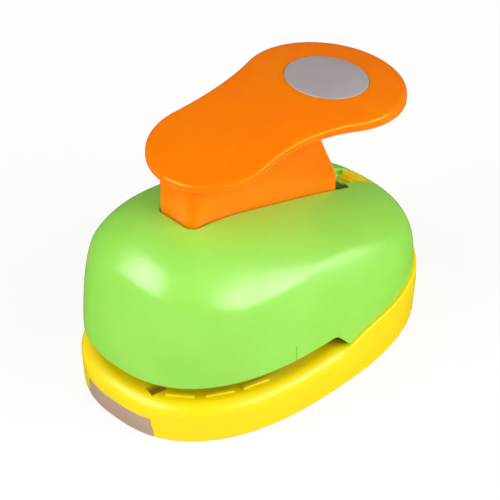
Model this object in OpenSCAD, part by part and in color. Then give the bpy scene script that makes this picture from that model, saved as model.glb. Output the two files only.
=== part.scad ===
// Circle craft punch with a lever handle.
// The paper mouth faces -Y, +Z is up, the base rests on z = 0 and X = 0 is the plane of symmetry.

/* [Body] */
// Length of the oval body
body_len = 120; // [114:0.5:132]
// Width of the oval body
body_wid = 79.2; // [76:0.4:90]
// Squareness of the oval, where 2 is an ellipse
plan_power = 2.43; // [2.3:0.01:2.7]
// Height of the seam between base and cover
seam_z = 16.9; // [16:0.1:18]
// How far the cover's outside lies within the widest outline at the seam
seam_inset = 1.05; // [0.9:0.05:1.4]
// Height of the seam where it starts behind the mouth
seam_low_z = 14.5; // [14.3:0.1:15]
// Length over which the seam climbs to its full height
seam_rise = 14; // [10:0.5:18]

/* [Base] */
// Wall of the base
base_wall = 2.4; // [2:0.1:3]
// Height of the deck that the paper slides on
deck_z = 14.5; // [13.5:0.1:15.5]
// Thickness of the deck
deck_t = 2.4; // [1.8:0.1:3]
// Radius of the round shoulder in front of the deck
shoulder_r = 4.5; // [3:0.1:5.5]
// How far the wall leans in from the shoulder down to its foot
wall_lean = 0.6; // [0.3:0.1:1]
// Chamfer of the foot's edge
foot_edge = 0.3; // [0.2:0.1:0.5]
// Round of the collar's upper edge beside the cover
collar_edge = 0.8; // [0.4:0.1:0.9]
// Length of the low paper guides on the deck
rail_len = 9; // [6:0.5:11]
// Width of the low paper guides on the deck
rail_wid = 1.8; // [1.2:0.1:2.4]
// Height of the low paper guides above the deck
rail_h = 0.6; // [0.3:0.1:0.9]

/* [Front plate] */
// Width of the front plate along its upper edge
plate_wid = 27.4; // [22:0.2:32]
// How much wider the front plate gets towards the foot, on each side
plate_taper = 1.2; // [0:0.1:2]
// Height of the front plate
plate_h = 7.4; // [6:0.1:8]
// Thickness of the front plate
plate_t = 1.4; // [1:0.1:1.6]
// Width of a snap arm
arm_wid = 4; // [3:0.1:5]

/* [Cover] */
// Wall of the cover
cover_wall = 2.2; // [1.8:0.1:2.6]
// Height that the cover's ridge would have over the origin
ridge_z = 56.6; // [55:0.1:60]
// Fall of the ridge towards the back
ridge_fall = 0.32; // [0.26:0.01:0.36]
// Bow of the ridge line, per millimetre
ridge_bow = 0.0026; // [0.0018:0.0001:0.0032]
// Roundness of the dome's crown, where a larger value is flatter on top
crown_power = 2.15; // [1.9:0.05:2.5]
// Steepness of the dome's side, where a larger value is steeper
side_power = 3; // [2.6:0.1:3.4]
// Height of the cover's lip over the paper mouth
lip_z = 21.1; // [20:0.1:22.5]
// Place of the mouth's back end
mouth_end_y = 5.8; // [4:0.1:8]
// Slope of the mouth's back end, in degrees
mouth_end_slope = 48; // [40:1:70]
// Radius in the mouth's upper back corner
mouth_end_r = 4.5; // [3:0.1:5]
// Width of the centre mark in the lip
mark_wid = 0.8; // [0.5:0.1:1.2]
// Height of the centre mark in the lip
mark_h = 6; // [4:0.5:8]
// Depth of the centre mark in the lip
mark_depth = 0.8; // [0.5:0.1:1]

/* [Cutting set] */
// Diameter of the punched circle
cut_d = 44; // [38:0.5:44.5]
// Place of the punched circle's centre
cut_y = -17.5; // [-19:0.5:-17]
// Running clearance of the cutter, on the radius
cut_clear = 0.05; // [0.03:0.01:0.08]
// Steel beside the punched circle in the guide plate
set_side = 9; // [8.5:0.1:9.5]
// Steel in front of the punched circle in the guide plate
set_fore = 5; // [4.5:0.1:6]
// Steel behind the punched circle in the guide plate
set_aft = 11; // [10.5:0.1:12]
// Front corner radius of the guide plate
set_front_r = 26; // [22:0.5:27]
// Back corner radius of the guide plate
set_back_r = 12; // [8:0.5:14]
// How far the die plate lies inside the guide plate's outline
die_inset = 2.4; // [2:0.1:3]
// Thickness of the die plate
die_t = 4; // [3:0.1:4.5]
// Gap that the paper slides into
throat_gap = 1.4; // [1:0.1:2]
// Thickness of the guide plate
guide_t = 6; // [5:0.1:7]
// Wall of the cutter's ring
cutter_wall = 3; // [2.4:0.1:4]
// Height of the cutter's ring and web
cutter_h = 11.6; // [10.5:0.1:12.5]
// Thickness of the cutter's web
web_t = 4; // [3:0.1:5]
// Distance from the punched circle to a guide pin's axis
pin_gap = 4.7; // [4.6:0.1:5]
// Diameter of the guide pins
guide_d = 5; // [4.5:0.1:5.4]

/* [Springs and press bar] */
// Length of a return spring with the lever up
spring_len = 11.1; // [10.6:0.1:13]
// Wire of the return springs
wire_d = 1; // [0.8:0.1:1.1]
// Mean diameter of the return springs
coil_d = 7.4; // [7.2:0.1:7.8]
// Curls of a return spring
curls = 4.5; // [4:0.5:5]
// Height of the press bar
bar_t = 7; // [6:0.1:8]
// Width of the press bar
bar_wid = 11; // [10:0.5:12]
// Width of the pad under the lever's nose
pad_wid = 14; // [10:0.5:15]

/* [Lever] */
// Highest point of the paddle
paddle_z = 86.7; // [85:0.1:92]
// Height of the paddle's edge
paddle_t = 4.2; // [4:0.1:6]
// Skin of the paddle over its hollow underside
paddle_skin = 2.4; // [2:0.1:2.8]
// Rim of the paddle's underside
paddle_rim = 2.4; // [1.8:0.1:3]
// Round of the paddle's upper edge
paddle_edge_r = 1.6; // [1:0.1:2]
// Radius of the paddle's crown
crown_r = 212; // [190:2:400]
// Place of the crown's highest point
crown_y = 4.3; // [0:0.1:14]
// Radius of the paddle's back lobe
back_lobe_r = 26; // [24:0.2:28]
// Distance from the back lobe's end to the body's back end
paddle_from_end = 1.9; // [1:0.1:4]
// Radius of the paddle's front lobe
front_lobe_r = 20.3; // [18:0.1:21]
// Centre of the front lobe
front_lobe_y = -16.8; // [-19:0.1:-16]
// Radius of the waist between the lobes
waist_r = 70; // [50:1:90]
// Width of the stem
stem_wid = 15.4; // [14:0.1:16.5]
// Wall of the hollow stem
stem_wall = 2.2; // [1.6:0.1:2.6]
// Distance from the stem's back to the body's back end
stem_from_end = 29.2; // [29:0.2:32]
// Radius of the stem's upright front edges
stem_corner_r = 2; // [1.6:0.1:3]
// Radius of the stem's round back
stem_back_r = 21.8; // [20:0.2:24]
// Depth that the stem reaches under the cover's ridge
stem_lap = 3.2; // [2.6:0.1:3.6]
// Swing of the lever, in degrees
swing = 25; // [15:1:25]
// Distance from the pivot to the nose
nose_arm = 11.5; // [10.5:0.1:12]
// Radius of the nose
nose_r = 5; // [4.5:0.1:5.5]
// Depth of the pivot under the cover's ridge
pivot_depth = 10.1; // [9.8:0.1:10.6]
// Diameter of the pivot pin
pivot_d = 4; // [3.4:0.1:4.4]
// Radius of the hub round the pivot
hub_r = 4.2; // [4:0.1:4.6]

/* [Badge] */
// Diameter of the badge
badge_d = 26.8; // [22:0.2:30]
// How far the badge lies behind the back lobe's centre
badge_shift = 1.1; // [0:0.1:2]
// Thickness of the badge
badge_t = 1.2; // [0.8:0.1:1.5]

/* [Lock] */
// Distance from the lock to the body's back end
lock_from_end = 14.5; // [13.6:0.1:15]
// Slope of the lock's track, in degrees
lock_tilt = 28; // [26:0.5:30]
// Width of the lock slide
lock_wid = 9.2; // [8:0.1:10]
// Length of the lock slide
lock_len = 13.2; // [12:0.1:14]
// Travel of the lock slide
lock_travel = 4; // [3:0.1:4]
// Width of the lock's bolt
bolt_wid = 4.4; // [3.6:0.1:5]
// Thickness of the lock's bolt and keeper
bolt_t = 2; // [1.6:0.1:2.2]

/* [Fasteners] */
// Thread diameter of all screws
screw_d = 3; // [2.5:0.1:3]
// Head diameter of all screws
head_d = 5.6; // [5:0.1:5.8]
// Head height of all screws
head_h = 2.2; // [1.8:0.1:2.4]
// Radius of the screw bosses
boss_r = 4; // [3.6:0.1:4.2]

/* [Hidden] */
$fn = 64;
// Small overlap for clean cuts
eps = 0.01;
// Play between fixed pieces that slip together
fit = 0.1;
// Play beside pieces that move past each other
run = 0.4;
// Running clearance of pins in their bores, on the radius
pin_clear = 0.05;
// Steps round the oval, and rings up the dome
oval_steps = 72;
dome_rings = 13;
half_len = body_len / 2;
half_wid = body_wid / 2;

// Colours of the real pieces
yellow = "#FFE51A";
green = "#A0E860";
orange = "#FF8400";
grey = "#A89E9C";
steel = "#B8BCC0";
dark_steel = "#70757A";
white_plastic = "#E6E4DC";

// Base's wall below the shoulder, as insets and heights
knee_z = deck_z - shoulder_r;
foot_steps = [[wall_lean + foot_edge, 0], [wall_lean, foot_edge], [wall_lean / 2, knee_z / 2]];
collar_in = seam_inset + cover_wall;
// Steps of the flat rim inside the shoulder
rim_step = 0.6;

// Snap arms of the front plate
arm_t = 2;
arm_x = plate_wid / 2 - arm_wid / 2;
arm_z = plate_h / 2 - arm_t / 2;

// Plan of the cutting set
set_wid = cut_d + 2 * set_side;
set_front = cut_d / 2 + set_fore;
set_back = cut_d / 2 + set_aft;
pin_span = cut_d + 2 * pin_gap;

// Heights of the cutting set
die_z = deck_z - die_t;
guide_z = deck_z + throat_gap;
guide_top = guide_z + guide_t;
edge_lift = 0.5;
stop_gap = 0.6;
edge_z = guide_z + edge_lift;
web_top = edge_z + cutter_h;
bar_z = guide_top + spring_len;
bar_top = bar_z + bar_t;
die_seat_t = 2.4;
spacer_front_y = cut_y + cut_d / 2 + stop_gap;
spacer_back_y = cut_y + set_back;
die_screw_x = 20;
die_screw_y = spacer_front_y + boss_r;
bar_screw_x = 5.5;
boss_d = 20;
bar_end_r = guide_d / 2 + 1.1;

// Lever: the nose stands as far above the pivot's height at rest as it ends below it
back_lobe_y = half_len - paddle_from_end - back_lobe_r;
badge_y = back_lobe_y + badge_shift;
pivot_y = cut_y - nose_arm;
pivot_z = dome_z(0, pivot_y) - pivot_depth;
nose_y = pivot_y + nose_arm * cos(swing / 2);
nose_z = pivot_z + nose_arm * sin(swing / 2);
nose_gap = 0.1;
pad_top = nose_z - nose_r - nose_gap;
stem_front_y = pivot_y - hub_r;
stem_back_y = half_len - stem_from_end;
stem_edge_r = 1.2;
stem_low_z = dome_z(0, stem_back_y) - stem_lap;
stem_back_rise = 2;
stem_back_z = stem_low_z + stem_lap + stem_back_rise;
neck_r = 12;
// Relief behind the nose, where the pad's back edge comes up into the lever at full swing
pad_back_y = nose_arm + bar_wid / 2;
pad_drop = pad_top - 2 * nose_arm * sin(swing / 2) - pivot_z;
relief_gap = 1;
relief_top = [pivot_y + pad_back_y * cos(swing) - pad_drop * sin(swing) + relief_gap,
    pivot_z + pad_back_y * sin(swing) + pad_drop * cos(swing) + relief_gap];
relief_drop = 5;
relief_low = relief_top + relief_drop * [1, -1];
waist_y = (pow(back_lobe_y, 2) - pow(front_lobe_y, 2)
    - (back_lobe_r - front_lobe_r) * (back_lobe_r + front_lobe_r + 2 * waist_r))
    / (2 * (back_lobe_y - front_lobe_y));
waist_x = sqrt(pow(front_lobe_r + waist_r, 2) - pow(waist_y - front_lobe_y, 2));
back_turn = atan2(waist_y - back_lobe_y, waist_x);
front_turn = atan2(waist_y - front_lobe_y, waist_x);

// Slot in the cover for the stem and the lock's strap
slot_tail = 5.9;
slot_back_y = stem_back_y + slot_tail;
cheek_t = 3;
cheek_gap = 0.6;
cheek_in = stem_wid / 2 + cheek_gap;
cheek_half = 6;
pin_end = 2.2;
pin_half = cheek_in + cheek_t + pin_end;
clip_t = 0.7;
clip_x = cheek_in + cheek_t + 2 * fit;
groove_d = pivot_d - 1;

// Lock: a strap on the lever swings down beside the bolt
lock_y = half_len - lock_from_end;
lock_z = dome_z(0, lock_y);
lock_front_share = 0.32;
track_floor = -1.4;
floor_t = 2.2;
track_play = 0.15;
keeper_top = track_floor - floor_t - track_play;
bolt_mid = keeper_top - bolt_t / 2;
post_len = 5;
post_wid = 5;
keeper_len = 11;
keeper_wid = 12;
strap_t = 2.6;
strap_wid = 8;
strap_gap = 0.9;
strap_r = slot_back_y - strap_gap - pivot_y;
eye_h = 4.6;
bolt_reach = 9.4;
// Point where the bolt's middle line crosses the strap's middle, seen from the pivot
bolt_base_y = lock_y + bolt_mid * sin(lock_tilt) - pivot_y;
bolt_base_z = lock_z + bolt_mid * cos(lock_tilt) - pivot_z;
bolt_lean = bolt_base_y * cos(lock_tilt) - bolt_base_z * sin(lock_tilt);
strap_mid_r = strap_r - strap_t / 2;
bolt_way = bolt_lean - sqrt(pow(bolt_lean, 2) - pow(bolt_base_y, 2) - pow(bolt_base_z, 2)
    + pow(strap_mid_r, 2));
eye_angle = swing + atan2(bolt_base_z + bolt_way * sin(lock_tilt),
    bolt_base_y - bolt_way * cos(lock_tilt));

// Screw bosses that join cover and base, behind the mouth
boss_set_gap = 2;
boss_end_gap = 18;
boss_places = [[29, cut_y + set_back + boss_set_gap], [19, half_len - boss_end_gap]];
head_sink = 6;
thread_bite = 9;

// Outlines and surfaces

// Point of the oval plan at an angle, drawn in by an inset
function oval_point(inset, angle) =
    let (across = pow(abs(cos(angle)) / (half_wid - inset), plan_power),
         along = pow(abs(sin(angle)) / (half_len - inset), plan_power))
    pow(across + along, -1 / plan_power) * [cos(angle), sin(angle)];

// Half length of the oval at a distance from the plane of symmetry
function oval_along(inset, x) =
    (half_len - inset) * pow(1 - pow(abs(x) / (half_wid - inset), plan_power), 1 / plan_power);

// Half width of the oval at a place along its length
function oval_across(inset, y) =
    (half_wid - inset) * pow(1 - pow(abs(y) / (half_len - inset), plan_power), 1 / plan_power);

function oval(inset) = [for (i = [0 : oval_steps - 1]) oval_point(inset, 360 * i / oval_steps)];

// Height of the seam between base and cover along the body
function seam_at(y) =
    let (t = max(0, min(1, (y - mouth_end_y) / seam_rise)))
    seam_z - (seam_z - seam_low_z) * pow(1 - t, 2);

// Height of the ridge line, as if the dome had no crown
function ridge(y) = ridge_z - ridge_fall * y + ridge_bow * y * y;

// Height of the cover's outside over a point of the plan
function dome_z(x, y) =
    let (along = pow(abs(y) / (half_len - seam_inset), plan_power),
         across = pow(abs(x) / (half_wid - seam_inset), plan_power),
         out = pow(along + across, crown_power / plan_power))
    seam_z + (ridge(y) - seam_z) * pow(max(0, 1 - out), 1 / side_power);

// Ring of the dome at a share of its height, drawn in and lowered for the inside
function dome_ring(inset, drop, share) =
    let (reach = pow(1 - pow(share, side_power), 1 / crown_power))
    [for (p = oval(seam_inset + inset))
        [p.x * reach, p.y * reach, seam_z + (ridge(p.y * reach) - drop - seam_z) * share]];

function dome_shares() = [for (i = [0 : dome_rings - 1]) sin(90 * i / dome_rings)];

// Two triangles for each step between one ring and the next
function band(a, b, steps) = [for (i = [0 : steps - 1]) let (j = (i + 1) % steps)
    each [[a + i, b + j, a + j], [a + i, b + i, b + j]]];

// Triangles from a ring to a point above it
function fan(a, tip, steps) = [for (i = [0 : steps - 1]) [a + i, tip, a + (i + 1) % steps]];

function flipped(faces) = [for (f = faces) [f[2], f[1], f[0]]];

function mix(a, b, share) = a + (b - a) * share;

function smooth(t) = let (u = max(0, min(1, t))) u * u * (3 - 2 * u);

function arc(center, r, from, to, steps) = [for (i = [0 : steps])
    let (a = mix(from, to, i / steps)) center + r * [cos(a), sin(a)]];

// Solid through a stack of rings, each with the same number of points
module stack(rings, steps) {
    count = len(rings);
    points = [for (ring = rings) each ring];
    sides = [for (k = [0 : count - 2]) each band(k * steps, (k + 1) * steps, steps)];
    bottom = [[for (i = [0 : steps - 1]) i]];
    top = [[for (i = [steps - 1 : -1 : 0]) (count - 1) * steps + i]];
    polyhedron(points, concat(sides, bottom, top), convexity = 6);
}

// Dome filled to its flat bottom, drawn in by an inset
module dome_solid(inset) {
    shares = dome_shares();
    rings = [for (s = shares) dome_ring(inset, inset, s)];
    tip = len(shares) * oval_steps;
    sides = [for (k = [0 : len(shares) - 2])
        each band(k * oval_steps, (k + 1) * oval_steps, oval_steps)];
    bottom = [[for (i = [0 : oval_steps - 1]) i]];
    polyhedron(concat([for (ring = rings) each ring], [[0, 0, ridge(0) - inset]]),
        concat(sides, fan(tip - oval_steps, tip, oval_steps), bottom), convexity = 4);
}

// Lowest ring of the cover's skirt, from which the mouth and the seam are cut
function skirt_ring(inset) = [for (p = oval(seam_inset + inset)) [p.x, p.y, seam_low_z - 1]];

// Dome and upright skirt with an inside, open at the bottom
module dome_skin() {
    shares = dome_shares();
    outer = concat(skirt_ring(0), [for (s = shares) each dome_ring(0, 0, s)]);
    inner = concat(skirt_ring(cover_wall),
        [for (s = shares) each dome_ring(cover_wall, cover_wall, s)]);
    half = len(outer);
    tips = [[0, 0, ridge(0)], [0, 0, ridge(0) - cover_wall]];
    last = half - oval_steps;
    bands = [for (k = [0 : len(shares) - 1])
        each band(k * oval_steps, (k + 1) * oval_steps, oval_steps)];
    outer_faces = concat(bands, fan(last, 2 * half, oval_steps));
    inner_bands = concat(bands, fan(last, half + 1, oval_steps));
    inner_faces = flipped([for (f = inner_bands) f + half * [1, 1, 1]]);
    polyhedron(concat(outer, inner, tips),
        concat(outer_faces, inner_faces, band(half, 0, oval_steps)), convexity = 8);
}

// Plan with its own radius for the front and for the back corners
module rounded_plan(half, front_y, back_y, front_r, back_r) {
    translate([-half, front_y + front_r]) square([2 * half, back_y - front_y - front_r - back_r]);
    translate([front_r - half, front_y]) square([2 * (half - front_r), front_r]);
    translate([back_r - half, back_y - back_r]) square([2 * (half - back_r), back_r]);
    for (side = [-1, 1]) {
        translate([side * (half - front_r), front_y + front_r]) circle(front_r);
        translate([side * (half - back_r), back_y - back_r]) circle(back_r);
    }
}

// Outline of the cutting set's plates, grown or drawn in
module set_outline(grow = 0) {
    rounded_plan(set_wid / 2 + grow, cut_y - set_front - grow, cut_y + set_back + grow,
        set_front_r + grow, set_back_r + grow);
}

// Plan of the lever's stem, grown for its slot in the cover
module stem_plan(grow, back_y) {
    rounded_plan(stem_wid / 2 + grow, stem_front_y - grow, back_y,
        stem_corner_r + grow, stem_edge_r + grow);
}

// Cylinder along X, centred on X = 0
module cross_cylinder(r, length) {
    rotate([0, 90, 0]) cylinder(r = r, h = length, center = true);
}

// Profile in the Y and Z plane, given a thickness along X and centred
module side_slab(thickness) {
    rotate([90, 0, 90]) linear_extrude(thickness, center = true) children();
}

// Pan head screw that points up from its head's underside
module screw(length) {
    translate([0, 0, -head_h]) cylinder(d = head_d, h = head_h);
    cylinder(d = screw_d, h = length);
}

// Moves children to the lock's track: X across, Y backwards down the slope, Z away from the cover
module on_track() {
    translate([0, lock_y, lock_z]) rotate([-lock_tilt, 0, 0]) children();
}

// Base

// Insets and heights up the base's outside in front: round shoulder and deck
function shoulder_steps() = concat(foot_steps,
    [for (a = [0 : 22.5 : 90]) [shoulder_r * (1 - cos(a)), knee_z + shoulder_r * sin(a)]],
    [[shoulder_r + rim_step, deck_z], [shoulder_r + 2 * rim_step, deck_z]]);

// Insets and heights up the base's outside behind the mouth: collar with a round edge and a ledge
function collar_steps(high) =
    let (low = high - collar_edge, bend = collar_edge * (1 - cos(45)), draft = 0.05)
    concat(foot_steps,
        [[0, knee_z], [0, mix(knee_z, low, 0.5)], [0, low], [bend, high - bend], [collar_edge, high],
         [collar_in, high], [collar_in + draft, min(deck_z, high - eps)]]);

// Base filled to its deck, with the shoulder turning into the collar at the mouth's end
module base_body() {
    front = shoulder_steps();
    level = collar_steps(seam_z);
    rise_len = 5;
    angles = rise_angles();
    rings = [for (k = [0 : len(front) - 1])
        [for (angle = angles)
            let (share = smooth((oval_point(0, angle).y - mouth_end_y) / rise_len + 1),
                 p = oval_point(mix(front[k][0], level[k][0], share), angle),
                 z = mix(front[k][1], collar_steps(seam_at(p.y))[k][1], share))
            [p.x, p.y, z]]];
    stack(rings, len(angles));
}

// Angles round the oval, closer together where the collar rises behind the mouth
function rise_angles() =
    let (step = 360 / oval_steps,
         fine = [for (i = [0 : 7]) i * step / 4],
         rise = concat(fine, [for (a = [2 * step : step : 90]) a]))
    concat(rise, [for (i = [len(rise) - 2 : -1 : 0]) 180 - rise[i]],
        [for (a = [180 + step : step : 360 - step]) a]);

// Zone of the front plate in the base's wall, wider at the foot
module plate_zone(grow) {
    top = plate_wid / 2 + grow;
    low = top + plate_taper;
    translate([0, -half_len / 2, 0]) rotate([90, 0, 0]) linear_extrude(half_len / 2 + 1)
        polygon([[-low, -eps], [low, -eps], [top, plate_h + grow], [-top, plate_h + grow]]);
}

// Low guides that lie along the mouth on the deck
module paper_rails() {
    rail_inset = shoulder_r + 2 * rim_step;
    rail_angles = [-69.5, -56.5, -43];
    for (angle = rail_angles, side = [0, 1]) {
        p = oval_point(rail_inset, angle);
        q = oval_point(rail_inset, angle + 1);
        turn = atan2(q.y - p.y, q.x - p.x);
        mirror([side, 0, 0]) translate([p.x, p.y, deck_z - eps]) rotate(turn) {
            linear_extrude(rail_h + eps) square([rail_len, rail_wid], center = true);
        }
    }
}

module base_shell() {
    window_len = 6.8;
    window_wid = 4.2;
    window_x = 10.3;
    window_gap = 0.8;
    window_turn = 13;
    chute_play = 2;
    arm_way = 8;
    color(yellow) difference() {
        union() {
            difference() {
                base_body();
                translate([0, 0, -eps]) linear_extrude(deck_z - deck_t + eps) polygon(oval(base_wall));
            }
            translate([0, 0, die_z - die_seat_t]) linear_extrude(deck_z - die_z + die_seat_t - 1)
                set_outline(base_wall - die_inset);
            for (p = boss_places, side = [-1, 1]) translate([side * p.x, p.y, 0])
                cylinder(r = boss_r, h = seam_z);
            for (side = [-1, 1]) translate([side * die_screw_x, die_screw_y, 0])
                cylinder(r = boss_r, h = die_z - 1);
            paper_rails();
        }
        // Pocket of the die plate and the chute under it
        translate([0, 0, die_z]) linear_extrude(deck_z) set_outline(fit - die_inset);
        translate([0, cut_y, -1]) cylinder(d = cut_d + 2 * chute_play, h = deck_z);
        // Screws of the cutting set bite in their bosses
        for (side = [-1, 1]) translate([side * die_screw_x, die_screw_y, die_z - thread_bite])
            cylinder(d = screw_d, h = deck_z);
        // Cover screws come from below with sunk heads
        for (p = boss_places, side = [-1, 1]) translate([side * p.x, p.y, 0]) {
            translate([0, 0, -1]) cylinder(d = head_d + 2 * fit, h = head_sink + 1);
            cylinder(d = screw_d + 2 * fit, h = seam_z + 1);
        }
        // Front plate's pocket, and the arms' ways through wall and deck
        intersection() {
            plate_zone(fit);
            difference() {
                translate([0, 0, -1]) linear_extrude(plate_h + 2) polygon(oval(-base_wall));
                translate([0, 0, -2]) linear_extrude(plate_h + 4) polygon(oval(plate_t + fit));
            }
        }
        for (side = [-1, 1]) translate([side * arm_x - arm_wid / 2 - fit, -half_len, arm_z - fit])
            cube([arm_wid + 2 * fit, arm_way, arm_t + 2 * fit]);
        // Sight window in the deck's front edge, square to the oval
        translate([window_x, -half_len + shoulder_r + window_gap, deck_z - deck_t - 1])
            rotate(-window_turn) translate([-window_wid / 2, 0, 0])
                cube([window_wid, window_len, deck_t + 2]);
    }
}

module front_plate() {
    hook = 1.2;
    hook_len = 2;
    wall_in_y = -oval_along(base_wall, arm_x + arm_wid / 2);
    color(grey) {
        difference() {
            intersection() {
                base_body();
                plate_zone(0);
            }
            translate([0, 0, -1]) linear_extrude(plate_h + 2) polygon(oval(plate_t));
        }
        for (side = [-1, 1]) translate([side * arm_x - arm_wid / 2, 0, arm_z]) {
            difference() {
                translate([0, -half_len + plate_t / 2, 0])
                    cube([arm_wid, wall_in_y + 2 * fit + hook_len + half_len - plate_t / 2, arm_t]);
                translate([-side * arm_x + arm_wid / 2, 0, -1]) linear_extrude(arm_t + 2) difference() {
                    translate([-half_wid, -2 * half_len]) square([2 * half_wid, 2 * half_len]);
                    polygon(oval(plate_t / 2));
                }
            }
            translate([0, wall_in_y + 2 * fit, 0]) cube([arm_wid, hook_len, arm_t + hook]);
        }
    }
}

// Cover

// Everything under the skin that is moulded with the cover
module cover_inside() {
    intersection() {
        dome_solid(cover_wall / 2);
        union() {
            for (side = [-1, 1]) {
                cheek_x = side * (cheek_in + cheek_t / 2);
                translate([cheek_x - cheek_t / 2, pivot_y - cheek_half, pivot_z - hub_r])
                    cube([cheek_t, 2 * cheek_half, pivot_depth + hub_r]);
                translate([cheek_x, pivot_y, pivot_z - hub_r]) cross_cylinder(cheek_half, cheek_t);
            }
            for (p = boss_places, side = [-1, 1]) translate([side * p.x, p.y, seam_z])
                cylinder(r = boss_r, h = ridge_z);
            on_track() translate([-keeper_wid / 2 - 1, -keeper_len, track_floor - floor_t])
                cube([keeper_wid + 2, 2 * keeper_len - 2, floor_t + 3]);
        }
    }
}

// Tongue outline of the lock slide, with its round end uphill
module tongue(grow) {
    r = lock_wid / 2 + grow;
    front = lock_len * lock_front_share - lock_wid / 2;
    back = lock_len * (1 - lock_front_share);
    translate([0, -front]) circle(r);
    translate([-r, -front]) square([2 * r, front + back + grow]);
}

// Lower edge of the skirt behind the mouth, seen from the side
function seam_line() = [for (k = [0 : 8]) let (y = mouth_end_y + seam_rise * k / 8) [y, seam_at(y) + fit]];

module cover_shell() {
    mouth_front = -half_len - 1;
    mouth_corner_y = mouth_end_y - (lip_z - seam_low_z - fit) / tan(mouth_end_slope);
    color(green) difference() {
        union() {
            difference() {
                dome_skin();
                side_slab(body_wid) {
                    // Paper mouth, which ends in a slope with a round upper corner
                    polygon(concat([[mouth_front, 0], [mouth_end_y, 0], [mouth_end_y, seam_low_z + fit]],
                        arc([mouth_corner_y - mouth_end_r * tan(mouth_end_slope / 2), lip_z - mouth_end_r],
                            mouth_end_r, 90 - mouth_end_slope, 90, 6),
                        [[mouth_front, lip_z]]));
                    // Edge along the seam behind the mouth
                    polygon(concat([[mouth_end_y, 0]], seam_line(),
                        [[half_len, seam_z + fit], [half_len, 0]]));
                }
            }
            cover_inside();
        }
        // Slot of the lever
        translate([0, 0, seam_z]) linear_extrude(ridge_z) stem_plan(run, slot_back_y);
        translate([0, pivot_y, pivot_z]) cross_cylinder(pivot_d / 2, 2 * pin_half);
        // Track of the lock slide, and the way of its post
        on_track() {
            translate([0, 0, track_floor]) linear_extrude(ridge_z) {
                tongue(run);
                translate([-lock_wid / 2 - run, -lock_len]) square([lock_wid + 2 * run, lock_len]);
            }
            translate([-post_wid / 2 - fit, -post_len / 2 - lock_travel - fit, -ridge_z / 2])
                cube([post_wid + 2 * fit, post_len + lock_travel + 2 * fit, ridge_z / 2]);
        }
        // Screw holes in the bosses
        for (p = boss_places, side = [-1, 1]) translate([side * p.x, p.y, seam_z - 1])
            cylinder(d = screw_d, h = thread_bite + 1);
        // Centre marks in the lip
        for (side = [0, 1]) mirror([side, 0, 0])
            translate([oval_across(seam_inset, cut_y) - mark_depth, cut_y - mark_wid / 2, lip_z - 1])
                cube([2 * mark_depth, mark_wid, mark_h + 1]);
    }
}

module cover_screws() {
    color(steel) for (p = boss_places, side = [-1, 1])
        translate([side * p.x, p.y, head_sink]) screw(seam_z - head_sink + thread_bite - 1);
}

// Cutting set

module die_plate() {
    color(steel) difference() {
        translate([0, 0, die_z]) linear_extrude(die_t) set_outline(-die_inset);
        translate([0, cut_y, die_z - 1]) cylinder(d = cut_d + 2 * cut_clear, h = die_t + 2, $fn = 96);
        for (side = [-1, 1]) translate([side * die_screw_x, die_screw_y, die_z - 1])
            cylinder(d = screw_d + 2 * fit, h = die_t + 2);
    }
}

module throat_spacer() {
    color(dark_steel) difference() {
        translate([0, 0, deck_z]) linear_extrude(throat_gap) intersection() {
            set_outline();
            translate([-set_wid / 2, spacer_front_y]) square([set_wid, spacer_back_y - spacer_front_y]);
        }
        for (side = [-1, 1]) translate([side * die_screw_x, die_screw_y, deck_z - 1])
            cylinder(d = screw_d + 2 * fit, h = throat_gap + 2);
    }
}

module guide_plate() {
    color(steel) difference() {
        translate([0, 0, guide_z]) linear_extrude(guide_t) set_outline();
        translate([0, cut_y, guide_z - 1]) cylinder(d = cut_d + 2 * cut_clear, h = guide_t + 2, $fn = 96);
        for (side = [-1, 1]) {
            translate([side * die_screw_x, die_screw_y, guide_z - 1])
                cylinder(d = screw_d + 2 * fit, h = guide_t + 2);
            translate([side * pin_span / 2, cut_y, guide_z - 1]) cylinder(d = guide_d, h = guide_t + 2);
        }
    }
}

module die_screws() {
    color(dark_steel) for (side = [-1, 1])
        translate([side * die_screw_x, die_screw_y, guide_top]) mirror([0, 0, 1])
            screw(guide_top - die_z + thread_bite - 1);
}

module guide_pin() {
    pin_proud = 2;
    pin_bevel = 0.6;
    pin_len = bar_top + pin_proud - guide_z;
    color(steel) translate([pin_span / 2, cut_y, guide_z]) {
        cylinder(d = guide_d, h = pin_len);
        translate([0, 0, pin_len])
            cylinder(d1 = guide_d, d2 = guide_d - 2 * pin_bevel, h = pin_bevel);
    }
}

module guide_pin_right() guide_pin();
module guide_pin_left() mirror([1, 0, 0]) guide_pin();

// Point of the spring's wire after a number of turns
function coil_point(turn) = let (rise = spring_len - wire_d)
    [coil_d / 2 * cos(360 * turn), coil_d / 2 * sin(360 * turn), wire_d / 2 + rise * turn / curls];

// Compression spring as one tube wound round a guide pin
module return_spring() {
    sides = 6;
    count = ceil(8 * curls);
    rings = [for (k = [0 : count]) let (turn = curls * k / count, p = coil_point(turn))
        [for (j = [0 : sides - 1]) let (a = 360 * j / sides, out = wire_d / 2 * cos(a))
            p + [out * cos(360 * turn), out * sin(360 * turn), wire_d / 2 * sin(a)]]];
    color(steel) translate([pin_span / 2, cut_y, guide_top])
        stack([for (k = [count : -1 : 0]) rings[k]], sides);
}

module return_spring_right() return_spring();
module return_spring_left() mirror([1, 0, 0]) return_spring();

module cutter() {
    color(steel) translate([0, cut_y, 0]) difference() {
        union() {
            translate([0, 0, edge_z]) cylinder(d = cut_d, h = cutter_h, $fn = 96);
            translate([0, 0, web_top - 1]) cylinder(d = boss_d, h = bar_z - web_top + 1);
        }
        translate([0, 0, edge_z - 1])
            cylinder(d = cut_d - 2 * cutter_wall, h = cutter_h - web_t + 1, $fn = 96);
        for (side = [-1, 1]) translate([side * bar_screw_x, 0, edge_z])
            cylinder(d = screw_d + 2 * fit, h = bar_z);
    }
}

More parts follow.
